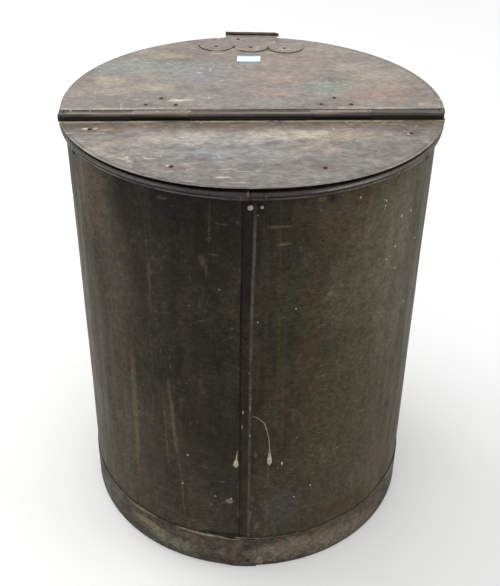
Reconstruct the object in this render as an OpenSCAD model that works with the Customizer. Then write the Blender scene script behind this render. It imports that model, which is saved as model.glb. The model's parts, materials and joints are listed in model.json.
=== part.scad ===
// Tin honey extractor: a sheet-metal drum with a two-part lid, a hand crank with a bevel
// drive, a four-sided reel for the frames and a swing gate at the foot.
// Frame: X along the lid hinge, +Y towards the lifting tab, the crank and the gate, +Z up.
// The origin is on the floor at the centre of the foot ring.

/* [Drum] */
// Outer radius of the drum wall
drum_r = 242; // [200:1:280]
// Height of the lid's top face above the floor
lid_top = 621; // [560:1:680]
// Thickness of the sheet metal
sheet = 1.2; // [0.8:0.1:1.6]
// Height of the band round the foot
band_h = 59; // [40:1:80]
// Height at which the bottom meets the wall
bottom_z = 62; // [62:1:90]
// Rise of the coned bottom towards its centre
bottom_rise = 24; // [15:1:40]
// Width of the raised seam in the wall
seam_w = 16; // [12:1:22]

/* [Lid] */
// Radius of the fixed front part of the lid
lid_r = 250; // [246:1:290]
// Radius of the rear flap
flap_r = 248; // [246:1:290]
// Place of the hinge axis, behind the front edge
hinge_y = -61; // [-80:1:-40]
// Outer radius of the rolled hinge tube
tube_r = 4.2; // [3.6:0.1:5]
// Radius of the hinge rod
rod_r = 3; // [2:0.1:3.2]
// Width of each hinge strap's knuckle
strap_w = 72; // [50:1:90]
// Width of the scalloped plate on the flap
tab_plate_w = 153; // [120:1:170]
// Width of the lifting tab
tab_w = 78; // [50:1:90]

/* [Drive] */
// Height of the crank shaft's axis
crank_z = 564; // [560:1:566]
// Radius of the crank shaft and of the spindle
shaft_r = 8; // [7:0.5:9]
// Length of the crank arm between its two axes
crank_len = 150; // [100:1:180]
// Module of the bevel gears at their large end
gear_module = 2.25; // [2:0.05:2.3]

/* [Reel] */
// Distance from the spindle to each wire screen
screen_x = 157; // [140:1:160]
// Height of the reel's bottom arms
reel_low = 112; // [108:1:130]
// Height of the reel's top arms
reel_high = 472; // [400:1:474]
// Spacing of the screen wires
mesh_step = 30; // [20:1:40]
// Width of the tray that a frame stands in
tray_w = 40; // [30:1:45]

/* [Hidden] */
$fn = 96;
eps = 0.02;            // parts that touch, such as soldered sheets, stay this far apart
run = 0.05;            // radial clearance of a running fit
drum_in = drum_r - sheet;
wall_top = lid_top - 2.6;
lid_low = lid_top - sheet;
hinge_z = lid_top + tube_r + 0.3;
hoop_z = lid_top - 15;
hoop_h = 10;
seam_from = -4.3;      // azimuth, in degrees from the front
seam_to = seam_from + seam_w / drum_r * 180 / PI;
foot_lap_az = -1.7;
foot_rivet_z = [13, 41];

fix_z = lid_top - 26;  // height of the rivets through the wall under the lid
lid_fix = [[-66, 220], [-27, 216], [21, 213], [61, 219]]; // azimuth, and radius of the lid's rivet
fix_hole = 2.2;        // radius of the holes of the lid brackets' and the foot's rivets
strap_x = [-116, 111];
strap_rivet_at = [[-21, 46], [-2, 67], [18, 45]]; // from the strap's middle and the hinge axis
sheet_hole = 1.7;      // radius of the holes of the straps' and the tab's rivets
tube_ends = [-242.6, 239.8];
flap_x = 1.5;          // the flap's circle lies a little to the right
flap_ends = [-240, 240.5];
step_y = hinge_y + 32; // the flap is set down in front of this line
step_h = 1;
tab_turn = -5.5;
tab_at = [7, 208];
tab_reach = 47;
tab_shift = -2.3;
lip_turn = 2.6;
lip_r = 2.6;
tab_rivet_at = [[-51.5, -9], [0, -9], [50, -9], [-21, 25]];
label_size = [33, 24];

bar_w = 36;
bar_z = 492;
bar_t = 6;
bearing_z = bar_z + bar_t;
bar_rivets = [[-9.7, 1.3], [3.2, 0.05]]; // place across the seam, and stand-off from the wall
bar_rivet_r = 2;
boss_r = 13;           // wall bearing's boss, in the hole through the wall
flange_r = 28;
flange_bolt_at = 21;
bush_r = 12;           // spindle bearing's bush, in the hole through the crossbar
bar_bolt_y = 20;
bolt_r = 3;
pedestal_y = 60;
pedestal_bolt_x = 13;
pedestal_bolt_r = 2.5;

gate_z = bottom_z + 27;
gate_bore = 19;
neck_r = 22;
pivot_z = gate_z + 40;
pivot_r = 4;
gate_face = drum_r + 46;
blade_t = 5;

gear_teeth = 40;
pinion_teeth = 16;
tooth_face = 12;
cone_len = gear_module / 2 * sqrt(gear_teeth * gear_teeth + pinion_teeth * pinion_teeth);
pin_r = 2;             // cross pins of the gears and the reel
pinion_pin_z = crank_z - 56;
gear_pin_y = 36;
crank_y = drum_r + 20;
grip_y = crank_y + 15;
grip_len = 92;
grip_pin_r = 5;
stud_r = 5;            // threaded end of the crank shaft

cup_rivets = [30, 150, 270];
cup_rivet_at = 17;
pivot_pin_r = 6;       // foot of the spindle, in the pivot cup
spindle_low = bottom_z + bottom_rise + 4.4;
spindle_top = crank_z - shaft_r - 22;
post_xy = screen_x;
post_r = 5;
hub_r = 20;
wire_r = 1.1;

// --- shared shapes -------------------------------------------------------------------

// A ring between two radii and two heights.
module ring(r_out, r_in, z_low, z_high) {
    translate([0, 0, z_low])
        difference() {
            cylinder(r = r_out, h = z_high - z_low);
            translate([0, 0, -1]) cylinder(r = r_in, h = z_high - z_low + 2);
        }
}

// A curved strip of the drum wall, between two azimuths measured from the front (-Y).
module wall_strip(r_in, r_out, z_low, z_high, from, to) {
    rotate([0, 0, from - 90])
        rotate_extrude(angle = to - from)
            translate([r_in, z_low]) square([r_out - r_in, z_high - z_low]);
}

// Turns its child, drawn on the +X side, to an azimuth measured from the front (-Y).
module at_azimuth(az) {
    rotate([0, 0, az - 90]) children();
}

// A low domed rivet head on the face z = 0.
module rivet_head(r, h) {
    cylinder(r = r, h = h * 0.45);
    translate([0, 0, h * 0.45]) cylinder(r1 = r, r2 = r * 0.55, h = h * 0.55);
}

// A rivet through a sheet of thickness t below z = 0, with a head on each side.
module rivet(r, t, head_h = 1.4) {
    translate([0, 0, eps]) rivet_head(r, head_h);
    translate([0, 0, -t - eps]) cylinder(r = r * 0.5, h = t + 3 * eps);
    translate([0, 0, -t - eps]) mirror([0, 0, 1]) rivet_head(r * 0.9, head_h * 0.8);
}

// A cylinder along X, Y or Z from one coordinate to the other.
module rod_x(r, x0, x1) {
    translate([x0, 0, 0]) rotate([0, 90, 0]) cylinder(r = r, h = x1 - x0);
}

module rod_y(r, y0, y1) {
    translate([0, y0, 0]) rotate([-90, 0, 0]) cylinder(r = r, h = y1 - y0);
}

// A hexagon head or nut, standing on z = 0.
module hexagon(across, h) {
    cylinder(r = across / sqrt(3), h = h, $fn = 6);
}

// A bolt along Z through a stack from z = 0 down to z = -t, with a nut below it.
module bolt_and_nut(r, t) {
    translate([0, 0, eps]) hexagon(r * 3.4, r * 1.3);
    translate([0, 0, -t - r * 2.6]) cylinder(r = r - eps, h = t + r * 2.6 + 0.5);
    translate([0, 0, -t - r * 1.6 - eps]) hexagon(r * 3.4, r * 1.6);
}

// --- drum ----------------------------------------------------------------------------

module lid_fix_holes() {
    for (fix = lid_fix)
        at_azimuth(fix[0])
            translate([0, 0, fix_z]) rod_x(fix_hole, drum_r - 10, drum_r + 10);
}

module crossbar_rivet_holes() {
    for (at = bar_rivets)
        translate([at[0], 0, fix_z]) rod_y(bar_rivet_r, -drum_r - 10, -drum_r + 20);
}

module wall_bearing_holes() {
    translate([0, 0, crank_z]) rod_y(boss_r + eps, drum_r - 12, drum_r + 10);
    for (dz = [-flange_bolt_at, flange_bolt_at])
        translate([0, 0, crank_z + dz]) rod_y(bolt_r + eps, drum_r - 12, drum_r + 10);
}

module drum_shell() {
    color("dimgray") difference() {
        union() {
            ring(drum_r, drum_in, 20, wall_top);
            wall_strip(drum_r - 0.5, drum_r + 1.3, band_h + 1.5, hoop_z - 1.2, seam_from, seam_to);
            at_azimuth(seam_to - 0.4)
                translate([drum_r + 0.6, 0, band_h + 3])
                    cylinder(r = 1.5, h = hoop_z - band_h - 6);
        }
        lid_fix_holes();
        crossbar_rivet_holes();
        wall_bearing_holes();
        translate([0, 0, gate_z]) rod_y(neck_r + eps, drum_r - 12, drum_r + 10);
    }
}

// Rolled hoop that stiffens the rim, with its lapped joint at the front.
module hoop_profile(grow) {
    translate([drum_r + eps, hoop_z - grow]) square([4.5, hoop_h + 2 * grow]);
    translate([drum_r + 4.4, hoop_z + 6.6]) circle(r = 3.2 + grow);
    translate([drum_r + 4.4, hoop_z + 2.2]) circle(r = 2.4 + grow);
}

module rim_hoop() {
    color("darkslategray") {
        rotate_extrude() hoop_profile(0);
        rotate([0, 0, -97]) rotate_extrude(angle = 6.6) hoop_profile(0.5);
    }
}

// Band round the foot, hemmed inwards at the floor and lapped at the front.
module foot_band() {
    color("gray") difference() {
        union() {
            ring(drum_r + 1.8, drum_r + eps, 0, band_h);
            ring(drum_r + 0.5, drum_r - 2, 0, 8);
            wall_strip(drum_r + 1, drum_r + 3.1, 0, band_h, -6, 1.1);
        }
        for (z = foot_rivet_z)
            at_azimuth(foot_lap_az) translate([0, 0, z]) rod_x(fix_hole, drum_r - 6, drum_r + 8);
    }
}

module foot_band_rivets() {
    color("silver")
        for (z = foot_rivet_z)
            at_azimuth(foot_lap_az)
                translate([drum_r + 3.1, 0, z])
                    rotate([0, 90, 0]) {
                        translate([0, 0, eps]) rivet_head(3.4, 1.6);
                        translate([0, 0, -2.9]) cylinder(r = fix_hole - 0.1, h = 3);
                    }
}

module drum_bottom() {
    color("slategray") difference() {
        union() {
            translate([0, 0, bottom_z])
                difference() {
                    cylinder(r1 = drum_in - eps, r2 = 24, h = bottom_rise);
                    translate([0, 0, -1.5])
                        cylinder(r1 = drum_in - eps, r2 = 24, h = bottom_rise);
                }
            ring(drum_in - eps, drum_in - 1.2, bottom_z - 14, bottom_z + 0.2);
            translate([0, 0, bottom_z + bottom_rise - 1.5]) cylinder(r = 24.2, h = 1.5);
        }
        for (a = cup_rivets)
            rotate([0, 0, a])
                translate([cup_rivet_at, 0, bottom_z + bottom_rise - 5]) cylinder(r = 2, h = 10);
    }
}

// Socket that carries the spindle's foot, with its three rivets.
module pivot_cup() {
    z0 = bottom_z + bottom_rise + eps;
    color("saddlebrown") translate([0, 0, z0]) {
        difference() {
            union() {
                cylinder(r = 23, h = 4);
                cylinder(r = 12, h = 18);
            }
            translate([0, 0, 4]) cylinder(r = pivot_pin_r + run, h = 20);
        }
        for (a = cup_rivets)
            rotate([0, 0, a]) translate([cup_rivet_at, 0, 3.9]) rivet_head(3.2, 1.6);
    }
}

// --- lid -----------------------------------------------------------------------------

// A stretch of the rolled tube on the hinge rod.
module knuckle(x0, x1) {
    translate([0, hinge_y, hinge_z])
        difference() {
            rod_x(tube_r, x0, x1);
            rod_x(rod_r + run, x0 - 1, x1 + 1);
        }
}

// The gaps in the fixed tube that hold the straps' knuckles, with end play on each side.
function knuckle_gap(side) = [strap_x[side] - strap_w / 2 - 0.4, strap_x[side] + strap_w / 2 + 0.4];

module fixed_tube(x0, x1) {
    knuckle(x0, x1);
    translate([x0, hinge_y - tube_r, lid_top - 0.2]) cube([x1 - x0, sheet, tube_r + 0.5]);
}

module front_lid() {
    color("lightslategray") difference() {
        union() {
            translate([0, 0, lid_low])
                intersection() {
                    cylinder(r = lid_r, h = sheet);
                    translate([-lid_r, -lid_r, -1]) cube([2 * lid_r, lid_r + hinge_y, sheet + 2]);
                }
            fixed_tube(tube_ends[0], knuckle_gap(0)[0]);
            fixed_tube(knuckle_gap(0)[1], knuckle_gap(1)[0]);
            fixed_tube(knuckle_gap(1)[1], tube_ends[1]);
        }
        translate([0, hinge_y, hinge_z]) rod_x(rod_r + run, -lid_r, lid_r);
        for (fix = lid_fix)
            at_azimuth(fix[0]) translate([fix[1], 0, lid_low - 5]) cylinder(r = fix_hole, h = 10);
    }
}

module hinge_rod() {
    color("dimgray")
        translate([0, hinge_y, hinge_z]) rod_x(rod_r, tube_ends[0] + 1, tube_ends[1] - 1);
}

// Angle bracket under the lid, from the wall's inside to the lid's underside.
module lid_bracket(i) {
    color("gray") at_azimuth(lid_fix[i][0])
        difference() {
            union() {
                translate([lid_fix[i][1] - 9, -10, lid_low - 2.2])
                    cube([drum_in - 0.3 - lid_fix[i][1] + 9, 20, 2]);
                translate([drum_in - 2.3, -10, fix_z - 12])
                    cube([2, 20, lid_low - 0.2 - fix_z + 12]);
            }
            translate([lid_fix[i][1], 0, lid_low - 5]) cylinder(r = fix_hole, h = 10);
            translate([0, 0, fix_z]) rod_x(fix_hole, drum_r - 10, drum_r + 10);
        }
}

module bracket_rivets() {
    color("saddlebrown")
        for (fix = lid_fix)
            at_azimuth(fix[0]) {
                translate([fix[1], 0, lid_top]) rivet(4, sheet + 2.2, 1.3);
                translate([drum_r + 0.05, 0, fix_z]) rotate([0, 90, 0]) rivet(3.6, 3.6, 1.8);
            }
}

module lid_flap() {
    color("lightslategray") difference() {
        union() {
            translate([0, 0, lid_low])
                intersection() {
                    translate([flap_x, 0, 0]) cylinder(r = flap_r, h = sheet);
                    union() {
                        translate([-lid_r, step_y, -1]) cube([2 * lid_r, 2 * lid_r, 9]);
                        translate([flap_ends[1], hinge_y + 16, -1]) cube([lid_r, 40, 9]);
                        translate([-lid_r, hinge_y + 16, -1]) cube([lid_r + flap_ends[0], 40, 9]);
                    }
                }
            intersection() {
                translate([flap_ends[0], hinge_y + tube_r + 1, lid_low - step_h])
                    cube([flap_ends[1] - flap_ends[0], step_y - hinge_y - tube_r - 0.4, sheet]);
                translate([flap_x, 0, lid_low - 3]) cylinder(r = flap_r, h = 6);
            }
            translate([flap_ends[0], step_y - 0.6, lid_low - step_h])
                cube([flap_ends[1] - flap_ends[0], 1.2, sheet + step_h]);
        }
        strap_rivet_holes();
        tab_rivet_holes();
    }
}

// Strap riveted under the flap, rolled round the hinge rod.
module hinge_strap(side) {
    x0 = strap_x[side] - strap_w / 2;
    leaf_z = lid_low - step_h - sheet - eps;
    color("gray") difference() {
        union() {
            knuckle(x0, x0 + strap_w);
            translate([x0, hinge_y + tube_r - sheet, leaf_z])
                cube([strap_w, sheet, hinge_z - leaf_z]);
            translate([x0, hinge_y + tube_r - sheet, leaf_z]) cube([strap_w, 38, sheet]);
            translate([strap_x[side], hinge_y + 40, leaf_z])
                linear_extrude(height = sheet)
                    polygon([[-strap_w / 2, -1], [strap_w / 2, -1], [10, 36], [-10, 36]]);
            translate([x0, hinge_y + 33, leaf_z]) cube([strap_w, 8, sheet]);
        }
        translate([0, hinge_y, hinge_z]) rod_x(rod_r + run, x0 - 1, x0 + strap_w + 1);
        strap_rivet_holes();
    }
}

module strap_rivet_places() {
    for (x = strap_x)
        for (p = strap_rivet_at)
            translate([x + p[0], hinge_y + p[1], 0]) children();
}

module strap_rivet_holes() {
    strap_rivet_places() translate([0, 0, lid_low - 6]) cylinder(r = sheet_hole, h = 12);
}

module strap_rivets() {
    color("saddlebrown")
        strap_rivet_places() translate([0, 0, lid_top]) rivet(3, 2 * sheet + step_h + eps, 1);
}

module tab_place() {
    translate([tab_at[0], tab_at[1], lid_top + eps]) rotate([0, 0, tab_turn]) children();
}

module tab_rivet_holes() {
    tab_place()
        for (p = tab_rivet_at) translate([p[0], p[1], -6]) cylinder(r = sheet_hole, h = 12);
}

// Scalloped plate with the lifting tab, whose lip is rolled upwards.
module lifting_tab() {
    lobe = tab_plate_w / 6;
    lobe_r = lobe * 1.05;
    side = tab_w / 2;
    rise = side * tan(lip_turn);
    color("lightslategray") difference() {
        tab_place() {
            linear_extrude(height = 1) {
                for (i = [-1:1])
                    intersection() {
                        translate([2 * lobe * i, 0]) circle(r = lobe_r);
                        translate([-tab_plate_w / 2, -40]) square([tab_plate_w, 40.1]);
                    }
                translate([-tab_plate_w / 2, 0]) square([tab_plate_w, 9]);
                translate([tab_shift, 0])
                    polygon([
                        [-side, 0], [side, 0],
                        [side, tab_reach + rise - 1], [-side, tab_reach - rise - 1]
                    ]);
            }
            translate([tab_shift, tab_reach, lip_r])
                rotate([0, 0, lip_turn]) rod_x(lip_r, -side - 0.5, side + 0.5);
        }
        tab_rivet_holes();
    }
}

module tab_rivets() {
    color("saddlebrown")
        tab_place()
            for (p = tab_rivet_at) translate([p[0], p[1], 1]) rivet(2.8, 1 + sheet + eps, 1);
}

module blank_label() {
    color("white")
        translate([1.5, 152, lid_top + eps])
            rotate([0, 0, -3]) translate([-label_size[0] / 2, -label_size[1] / 2, 0])
                cube([label_size[0], label_size[1], 0.3]);
}

// --- crossbar and bearings -----------------------------------------------------------

// Flat iron across the drum, its ends bent up and fixed to the wall.
module crossbar() {
    leg_y = drum_in - 6;
    color("slategray") difference() {
        union() {
            translate([-bar_w / 2, -leg_y, bar_z]) cube([bar_w, 2 * leg_y, bar_t]);
            translate([0, 0, bar_z]) cylinder(r = 30, h = bar_t);
            for (s = [0, 1])
                mirror([0, s, 0])
                    translate([-bar_w / 2, leg_y, bar_z])
                        cube([bar_w, 5, fix_z + 8 - bar_z]);
        }
        translate([0, 0, bar_z - 1]) cylinder(r = bush_r + eps, h = bar_t + 2);
        for (s = [-1, 1]) {
            translate([0, bar_bolt_y * s, bar_z - 1]) cylinder(r = bolt_r, h = bar_t + 2);
            translate([s * pedestal_bolt_x, pedestal_y, bar_z - 1])
                cylinder(r = pedestal_bolt_r, h = bar_t + 2);
        }
        crossbar_rivet_holes();
        wall_bearing_holes();
    }
}

module crossbar_rivets() {
    color("silver")
        for (at = bar_rivets)
            translate([at[0], -drum_r - at[1], fix_z])
                rotate([90, 0, 0]) rivet(3.2, at[1] + sheet + 6, 2);
}

// Flanged bush that carries the crank shaft where it passes the wall.
module wall_bearing() {
    color("darkgoldenrod") translate([0, 0, crank_z])
        difference() {
            union() {
                rod_y(flange_r, drum_r + eps, drum_r + 5);
                rod_y(boss_r, drum_r - 14, drum_r + 17);
            }
            rod_y(shaft_r + run, drum_r - 20, drum_r + 20);
            for (dz = [-flange_bolt_at, flange_bolt_at])
                translate([0, 0, dz]) rod_y(bolt_r, drum_r - 1, drum_r + 6);
        }
}

module wall_bearing_bolts() {
    color("dimgray")
        for (dz = [-flange_bolt_at, flange_bolt_at])
            translate([0, drum_r + 5, crank_z + dz])
                rotate([-90, 0, 0]) bolt_and_nut(bolt_r, 5 + drum_r - drum_in + 6);
}

// Flanged bush on the crossbar that carries the spindle's top.
module spindle_bearing() {
    color("darkgoldenrod") difference() {
        union() {
            translate([0, 0, bearing_z + eps]) cylinder(r = flange_r, h = 4);
            translate([0, 0, bar_z - 7]) cylinder(r = bush_r, h = 7 + bar_t + 4);
        }
        translate([0, 0, bar_z - 8]) cylinder(r = shaft_r + run, h = 30);
        for (s = [-1, 1])
            translate([0, bar_bolt_y * s, bearing_z - 1]) cylinder(r = bolt_r, h = 10);
    }
}

module spindle_bearing_bolts() {
    color("dimgray")
        for (s = [-1, 1])
            translate([0, bar_bolt_y * s, bearing_z + 4]) bolt_and_nut(bolt_r, 4 + bar_t);
}

// Standard that carries the crank shaft's inner end above the crossbar.
module shaft_pedestal() {
    color("darkslategray") difference() {
        union() {
            translate([-17, pedestal_y - 12, bearing_z + eps]) cube([34, 24, 5]);
            translate([-7.5, pedestal_y - 6, bearing_z + 1])
                cube([15, 12, crank_z - bearing_z - 4]);
            translate([0, 0, crank_z]) rod_y(14, pedestal_y - 11, pedestal_y + 11);
        }
        translate([0, 0, crank_z]) rod_y(shaft_r + run, pedestal_y - 20, pedestal_y + 20);
        for (s = [-1, 1])
            translate([s * pedestal_bolt_x, pedestal_y, bearing_z - 1])
                cylinder(r = pedestal_bolt_r, h = 10);
    }
}

module pedestal_bolts() {
    color("dimgray")
        for (s = [-1, 1])
            translate([s * pedestal_bolt_x, pedestal_y, bearing_z + 5])
                bolt_and_nut(pedestal_bolt_r, 5 + bar_t);
}

// --- gate ----------------------------------------------------------------------------

// Pipe soldered through the wall, with a collar on the wall's outside.
module gate_neck() {
    color("slategray") difference() {
        union() {
            translate([0, 0, gate_z]) rod_y(neck_r, drum_in - 6, gate_face - 10);
            intersection() {
                ring(drum_r + 2, drum_r + eps, gate_z - 40, gate_z + 40);
                translate([0, 0, gate_z]) rod_y(28, drum_r - 20, drum_r + 10);
            }
        }
        translate([0, 0, gate_z]) rod_y(gate_bore, drum_in - 20, gate_face);
    }
}

module gate_body() {
    color("darkgoldenrod") difference() {
        union() {
            translate([0, 0, gate_z]) rod_y(neck_r + 5, gate_face - 30, gate_face);
            translate([0, gate_face, gate_z])
                rotate([90, 0, 0]) linear_extrude(height = 8) {
                    circle(r = neck_r + 8);
                    translate([-11, 0]) square([22, pivot_z - gate_z]);
                    translate([0, pivot_z - gate_z]) circle(r = 11);
                }
        }
        translate([0, 0, gate_z]) rod_y(gate_bore, gate_face - 20, gate_face + 5);
        translate([0, 0, gate_z]) rod_y(neck_r + eps, gate_face - 40, gate_face - 9.9);
        translate([0, 0, pivot_z]) rod_y(pivot_r + eps, gate_face - 20, gate_face + 5);
    }
}

module gate_pivot_bolt() {
    color("dimgray") translate([0, 0, pivot_z]) {
        translate([0, gate_face - 8 - eps, 0]) rotate([90, 0, 0]) hexagon(13, 5);
        rod_y(pivot_r, gate_face - 8.5, gate_face + blade_t + 12);
    }
}

// Blade that closes the gate's mouth, with the lever above its pivot.
module gate_blade() {
    color("darkgoldenrod") difference() {
        union() {
            translate([0, gate_face + 0.3 + blade_t, gate_z])
                rotate([90, 0, 0]) linear_extrude(height = blade_t) {
                    circle(r = gate_bore + 6);
                    translate([-8, 0]) square([16, pivot_z - gate_z]);
                    translate([0, pivot_z - gate_z]) circle(r = 12);
                    translate([-6, pivot_z - gate_z]) square([12, 50]);
                    translate([0, pivot_z - gate_z + 50]) circle(r = 8);
                }
            translate([0, 0, pivot_z + 50])
                rod_y(6, gate_face + blade_t, gate_face + blade_t + 16);
        }
        translate([0, 0, pivot_z]) rod_y(pivot_r + run, gate_face - 1, gate_face + 20);
    }
}

// Thumb nut that clamps the blade.
module gate_thumb_nut() {
    y0 = gate_face + blade_t + 0.6;
    color("dimgray") translate([0, 0, pivot_z]) difference() {
        union() {
            rod_y(8, y0, y0 + 8);
            for (s = [-1, 1])
                translate([s * 12, y0 + 2, 0]) {
                    translate([-6, 0, -2.5]) cube([12, 5, 5]);
                    translate([s * 6, 0, 0]) rod_y(6, 0, 5);
                }
        }
        rod_y(pivot_r + run, y0 - 1, y0 + 20);
    }
}

// --- bevel drive ---------------------------------------------------------------------

// Corner points of a toothed ring at its large end, with the apex at the origin and the
// teeth facing up. Each tooth has two root corners and two tip corners.
function bevel_point(teeth, mate, angle, height) =
    let (
        r = gear_module * teeth / 2,
        axial = gear_module * mate / 2,
        cone = atan2(teeth, mate),
        rr = r + height * cos(cone)
    ) [rr * cos(angle), rr * sin(angle), -axial + height * sin(cone)];

function bevel_outline(teeth, mate, phase) = [
    for (i = [0:teeth - 1])
        for (corner = [[-0.29, -1.2], [-0.12, 0.9], [0.12, 0.9], [0.29, -1.2]])
            bevel_point(teeth, mate, phase + (i + corner[0]) * 360 / teeth, corner[1] * gear_module)
];

// Toothed ring: the outline at the large end and the same outline drawn towards the apex.
module bevel_ring(teeth, mate, phase, back) {
    outline = bevel_outline(teeth, mate, phase);
    n = len(outline);
    k = 1 - tooth_face / cone_len;
    axial = gear_module * mate / 2;
    points = concat(
        outline,
        [for (p = outline) p * k],
        [[0, 0, -axial - back], [0, 0, -axial * k]]
    );
    faces = [
        for (i = [0:n - 1])
            let (j = (i + 1) % n)
                each [[i, j, n + j], [i, n + j, n + i], [j, i, 2 * n], [n + i, n + j, 2 * n + 1]]
    ];
    polyhedron(points = points, faces = [for (f = faces) [f[2], f[1], f[0]]], convexity = 6);
}

module bevel_pinion() {
    color("darkslategray") translate([0, 0, crank_z]) difference() {
        union() {
            bevel_ring(pinion_teeth, gear_teeth, 90, 3);
            translate([0, 0, -61]) cylinder(r = 12, h = 61 - gear_module * gear_teeth / 2);
        }
        translate([0, 0, -80]) cylinder(r = shaft_r + eps, h = 60);
        translate([0, 0, pinion_pin_z - crank_z]) rod_x(pin_r, -20, 20);
    }
}

module bevel_gear() {
    color("darkslategray") translate([0, 0, crank_z]) rotate([90, 0, 0]) difference() {
        union() {
            bevel_ring(gear_teeth, pinion_teeth, 270 + 180 / gear_teeth, 5);
            translate([0, 0, -44]) cylinder(r = 16, h = 27);
        }
        translate([0, 0, -50]) cylinder(r = shaft_r + eps, h = 60);
        translate([0, 0, -gear_pin_y]) rod_x(pin_r, -20, 20);
    }
}

module gear_pin() {
    color("silver") translate([0, gear_pin_y, crank_z]) rod_x(pin_r - eps, -17.5, 17.5);
}

module crank_shaft() {
    color("silver") difference() {
        translate([0, 0, crank_z]) {
            rod_y(shaft_r, 15, crank_y + 24);
            rod_y(stud_r, crank_y + 23, crank_y + 33);
        }
        translate([0, gear_pin_y, crank_z]) rod_x(pin_r, -20, 20);
    }
}

module shaft_collar() {
    color("slategray") translate([0, 0, crank_z]) {
        difference() {
            rod_y(14, 72, 82);
            rod_y(shaft_r + eps, 70, 84);
        }
        translate([0, 77, 13.8]) cylinder(r = 3.2, h = 3);
    }
}

// --- crank ---------------------------------------------------------------------------

module crank_arm() {
    color("slategray") translate([0, crank_y, crank_z]) difference() {
        union() {
            rod_y(15, 0, 24);
            translate([0, 12, 0]) rotate([90, 0, 0]) linear_extrude(height = 9)
                polygon([[-12, 0], [12, 0], [9, -crank_len], [-9, -crank_len]]);
            translate([0, 0, -crank_len]) rod_y(12, 2, 13);
        }
        rod_y(shaft_r + eps, -1, 25);
        translate([0, 0, -crank_len]) rod_y(grip_pin_r, 0, 20);
    }
}

module crank_nut() {
    color("dimgray")
        translate([0, crank_y + 24 + eps, crank_z]) rotate([-90, 0, 0])
            difference() {
                hexagon(19, 7);
                translate([0, 0, -1]) cylinder(r = stud_r + eps, h = 10);
            }
}

module grip_pin() {
    color("silver") translate([0, 0, crank_z - crank_len]) {
        rod_y(grip_pin_r, crank_y + 3, grip_y + grip_len + 4);
        rod_y(9, grip_y + grip_len + 1, grip_y + grip_len + 4);
    }
}

// Turned wooden grip, free to spin on its pin.
module crank_grip() {
    color("peru")
        translate([0, grip_y, crank_z - crank_len]) rotate([-90, 0, 0])
            difference() {
                rotate_extrude()
                    polygon(concat(
                        [[0, 0]],
                        [for (i = [0:12]) [10 + 5.5 * sin(15 + i * 12.5), i / 12 * grip_len]],
                        [[0, grip_len]]
                    ));
                translate([0, 0, -1]) cylinder(r = grip_pin_r + run, h = grip_len + 2);
            }
}

// --- reel ----------------------------------------------------------------------------

module spindle() {
    color("silver") difference() {
        union() {
            translate([0, 0, spindle_low]) cylinder(r = pivot_pin_r, h = 16);
            translate([0, 0, spindle_low + 15])
                cylinder(r = shaft_r, h = spindle_top - spindle_low - 15);
        }
        for (z = [pinion_pin_z, reel_low, reel_high])
            translate([0, 0, z]) rod_x(pin_r, -30, 30);
    }
}

module reel_pins() {
    color("dimgray") {
        translate([0, 0, pinion_pin_z]) rod_x(pin_r - eps, -13.5, 13.5);
        for (z = [reel_low, reel_high]) translate([0, 0, z]) rod_x(pin_r - eps, -21.5, 21.5);
    }
}

// Four-armed spider with a hub on the spindle and an eye for each post.
module spider(z) {
    translate([0, 0, z]) difference() {
        union() {
            translate([0, 0, -7]) cylinder(r = hub_r, h = 14);
            for (a = [45, 135, 225, 315])
                rotate([0, 0, a]) {
                    translate([0, -7, -2.5]) cube([post_xy * sqrt(2), 14, 5]);
                    translate([post_xy * sqrt(2), 0, -2.5]) cylinder(r = 10, h = 5);
                }
        }
        translate([0, 0, -8]) cylinder(r = shaft_r + eps, h = 20);
        rod_x(pin_r, -30, 30);
        for (sx = [-1, 1], sy = [-1, 1])
            translate([sx * post_xy, sy * post_xy, -5]) cylinder(r = post_r + eps, h = 10);
    }
}

module top_spider() {
    color("lightsteelblue") spider(reel_high);
}

module bottom_spider() {
    color("lightsteelblue") spider(reel_low);
}

// One of the four posts at the reel's corners.
module reel_post(i) {
    color("lightsteelblue")
        rotate([0, 0, 45 + 90 * i])
            translate([post_xy * sqrt(2), 0, reel_low - 6])
                cylinder(r = post_r, h = reel_high - reel_low + 12);
}

// One wire screen, between two posts.
module wire_screen(i) {
    half = post_xy - post_r - eps;
    low = reel_low + 6;
    high = reel_high - 6;
    wires_y = floor((half - 4) / mesh_step);
    wires_z = floor((high - low - 10) / mesh_step);
    first_z = (low + high - wires_z * mesh_step) / 2;
    color("silver") rotate([0, 0, 90 * i]) translate([screen_x, 0, 0]) {
        difference() {
            translate([-1.5, -half, low]) cube([5, 2 * half, high - low]);
            translate([-3, -half + 5, low + 5]) cube([8, 2 * half - 10, high - low - 10]);
        }
        for (k = [-wires_y:wires_y])
            translate([0, k * mesh_step, low + 4])
                cylinder(r = wire_r, h = high - low - 8, $fn = 24);
        for (k = [0:wires_z])
            translate([2 * wire_r + 0.1, 0, first_z + k * mesh_step])
                rod_y(wire_r, -half + 4, half - 4, $fn = 24);
    }
}

// Tray at the foot of a screen that a frame stands in.
module frame_rest(i) {
    w = tray_w - 1.5 - eps;
    half = screen_x - tray_w - 8;
    color("slategray") rotate([0, 0, 90 * i])
        translate([screen_x - tray_w, 0, reel_low + 2.5 + eps])
            rotate([90, 0, 0]) translate([0, 0, -half])
                linear_extrude(height = 2 * half)
                    polygon([
                        [0, 0], [w, 0], [w, 10], [w - 1.5, 10],
                        [w - 1.5, 1.5], [1.5, 1.5], [1.5, 16], [0, 16]
                    ]);
}

// --- drawing -------------------------------------------------------------------------

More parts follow.
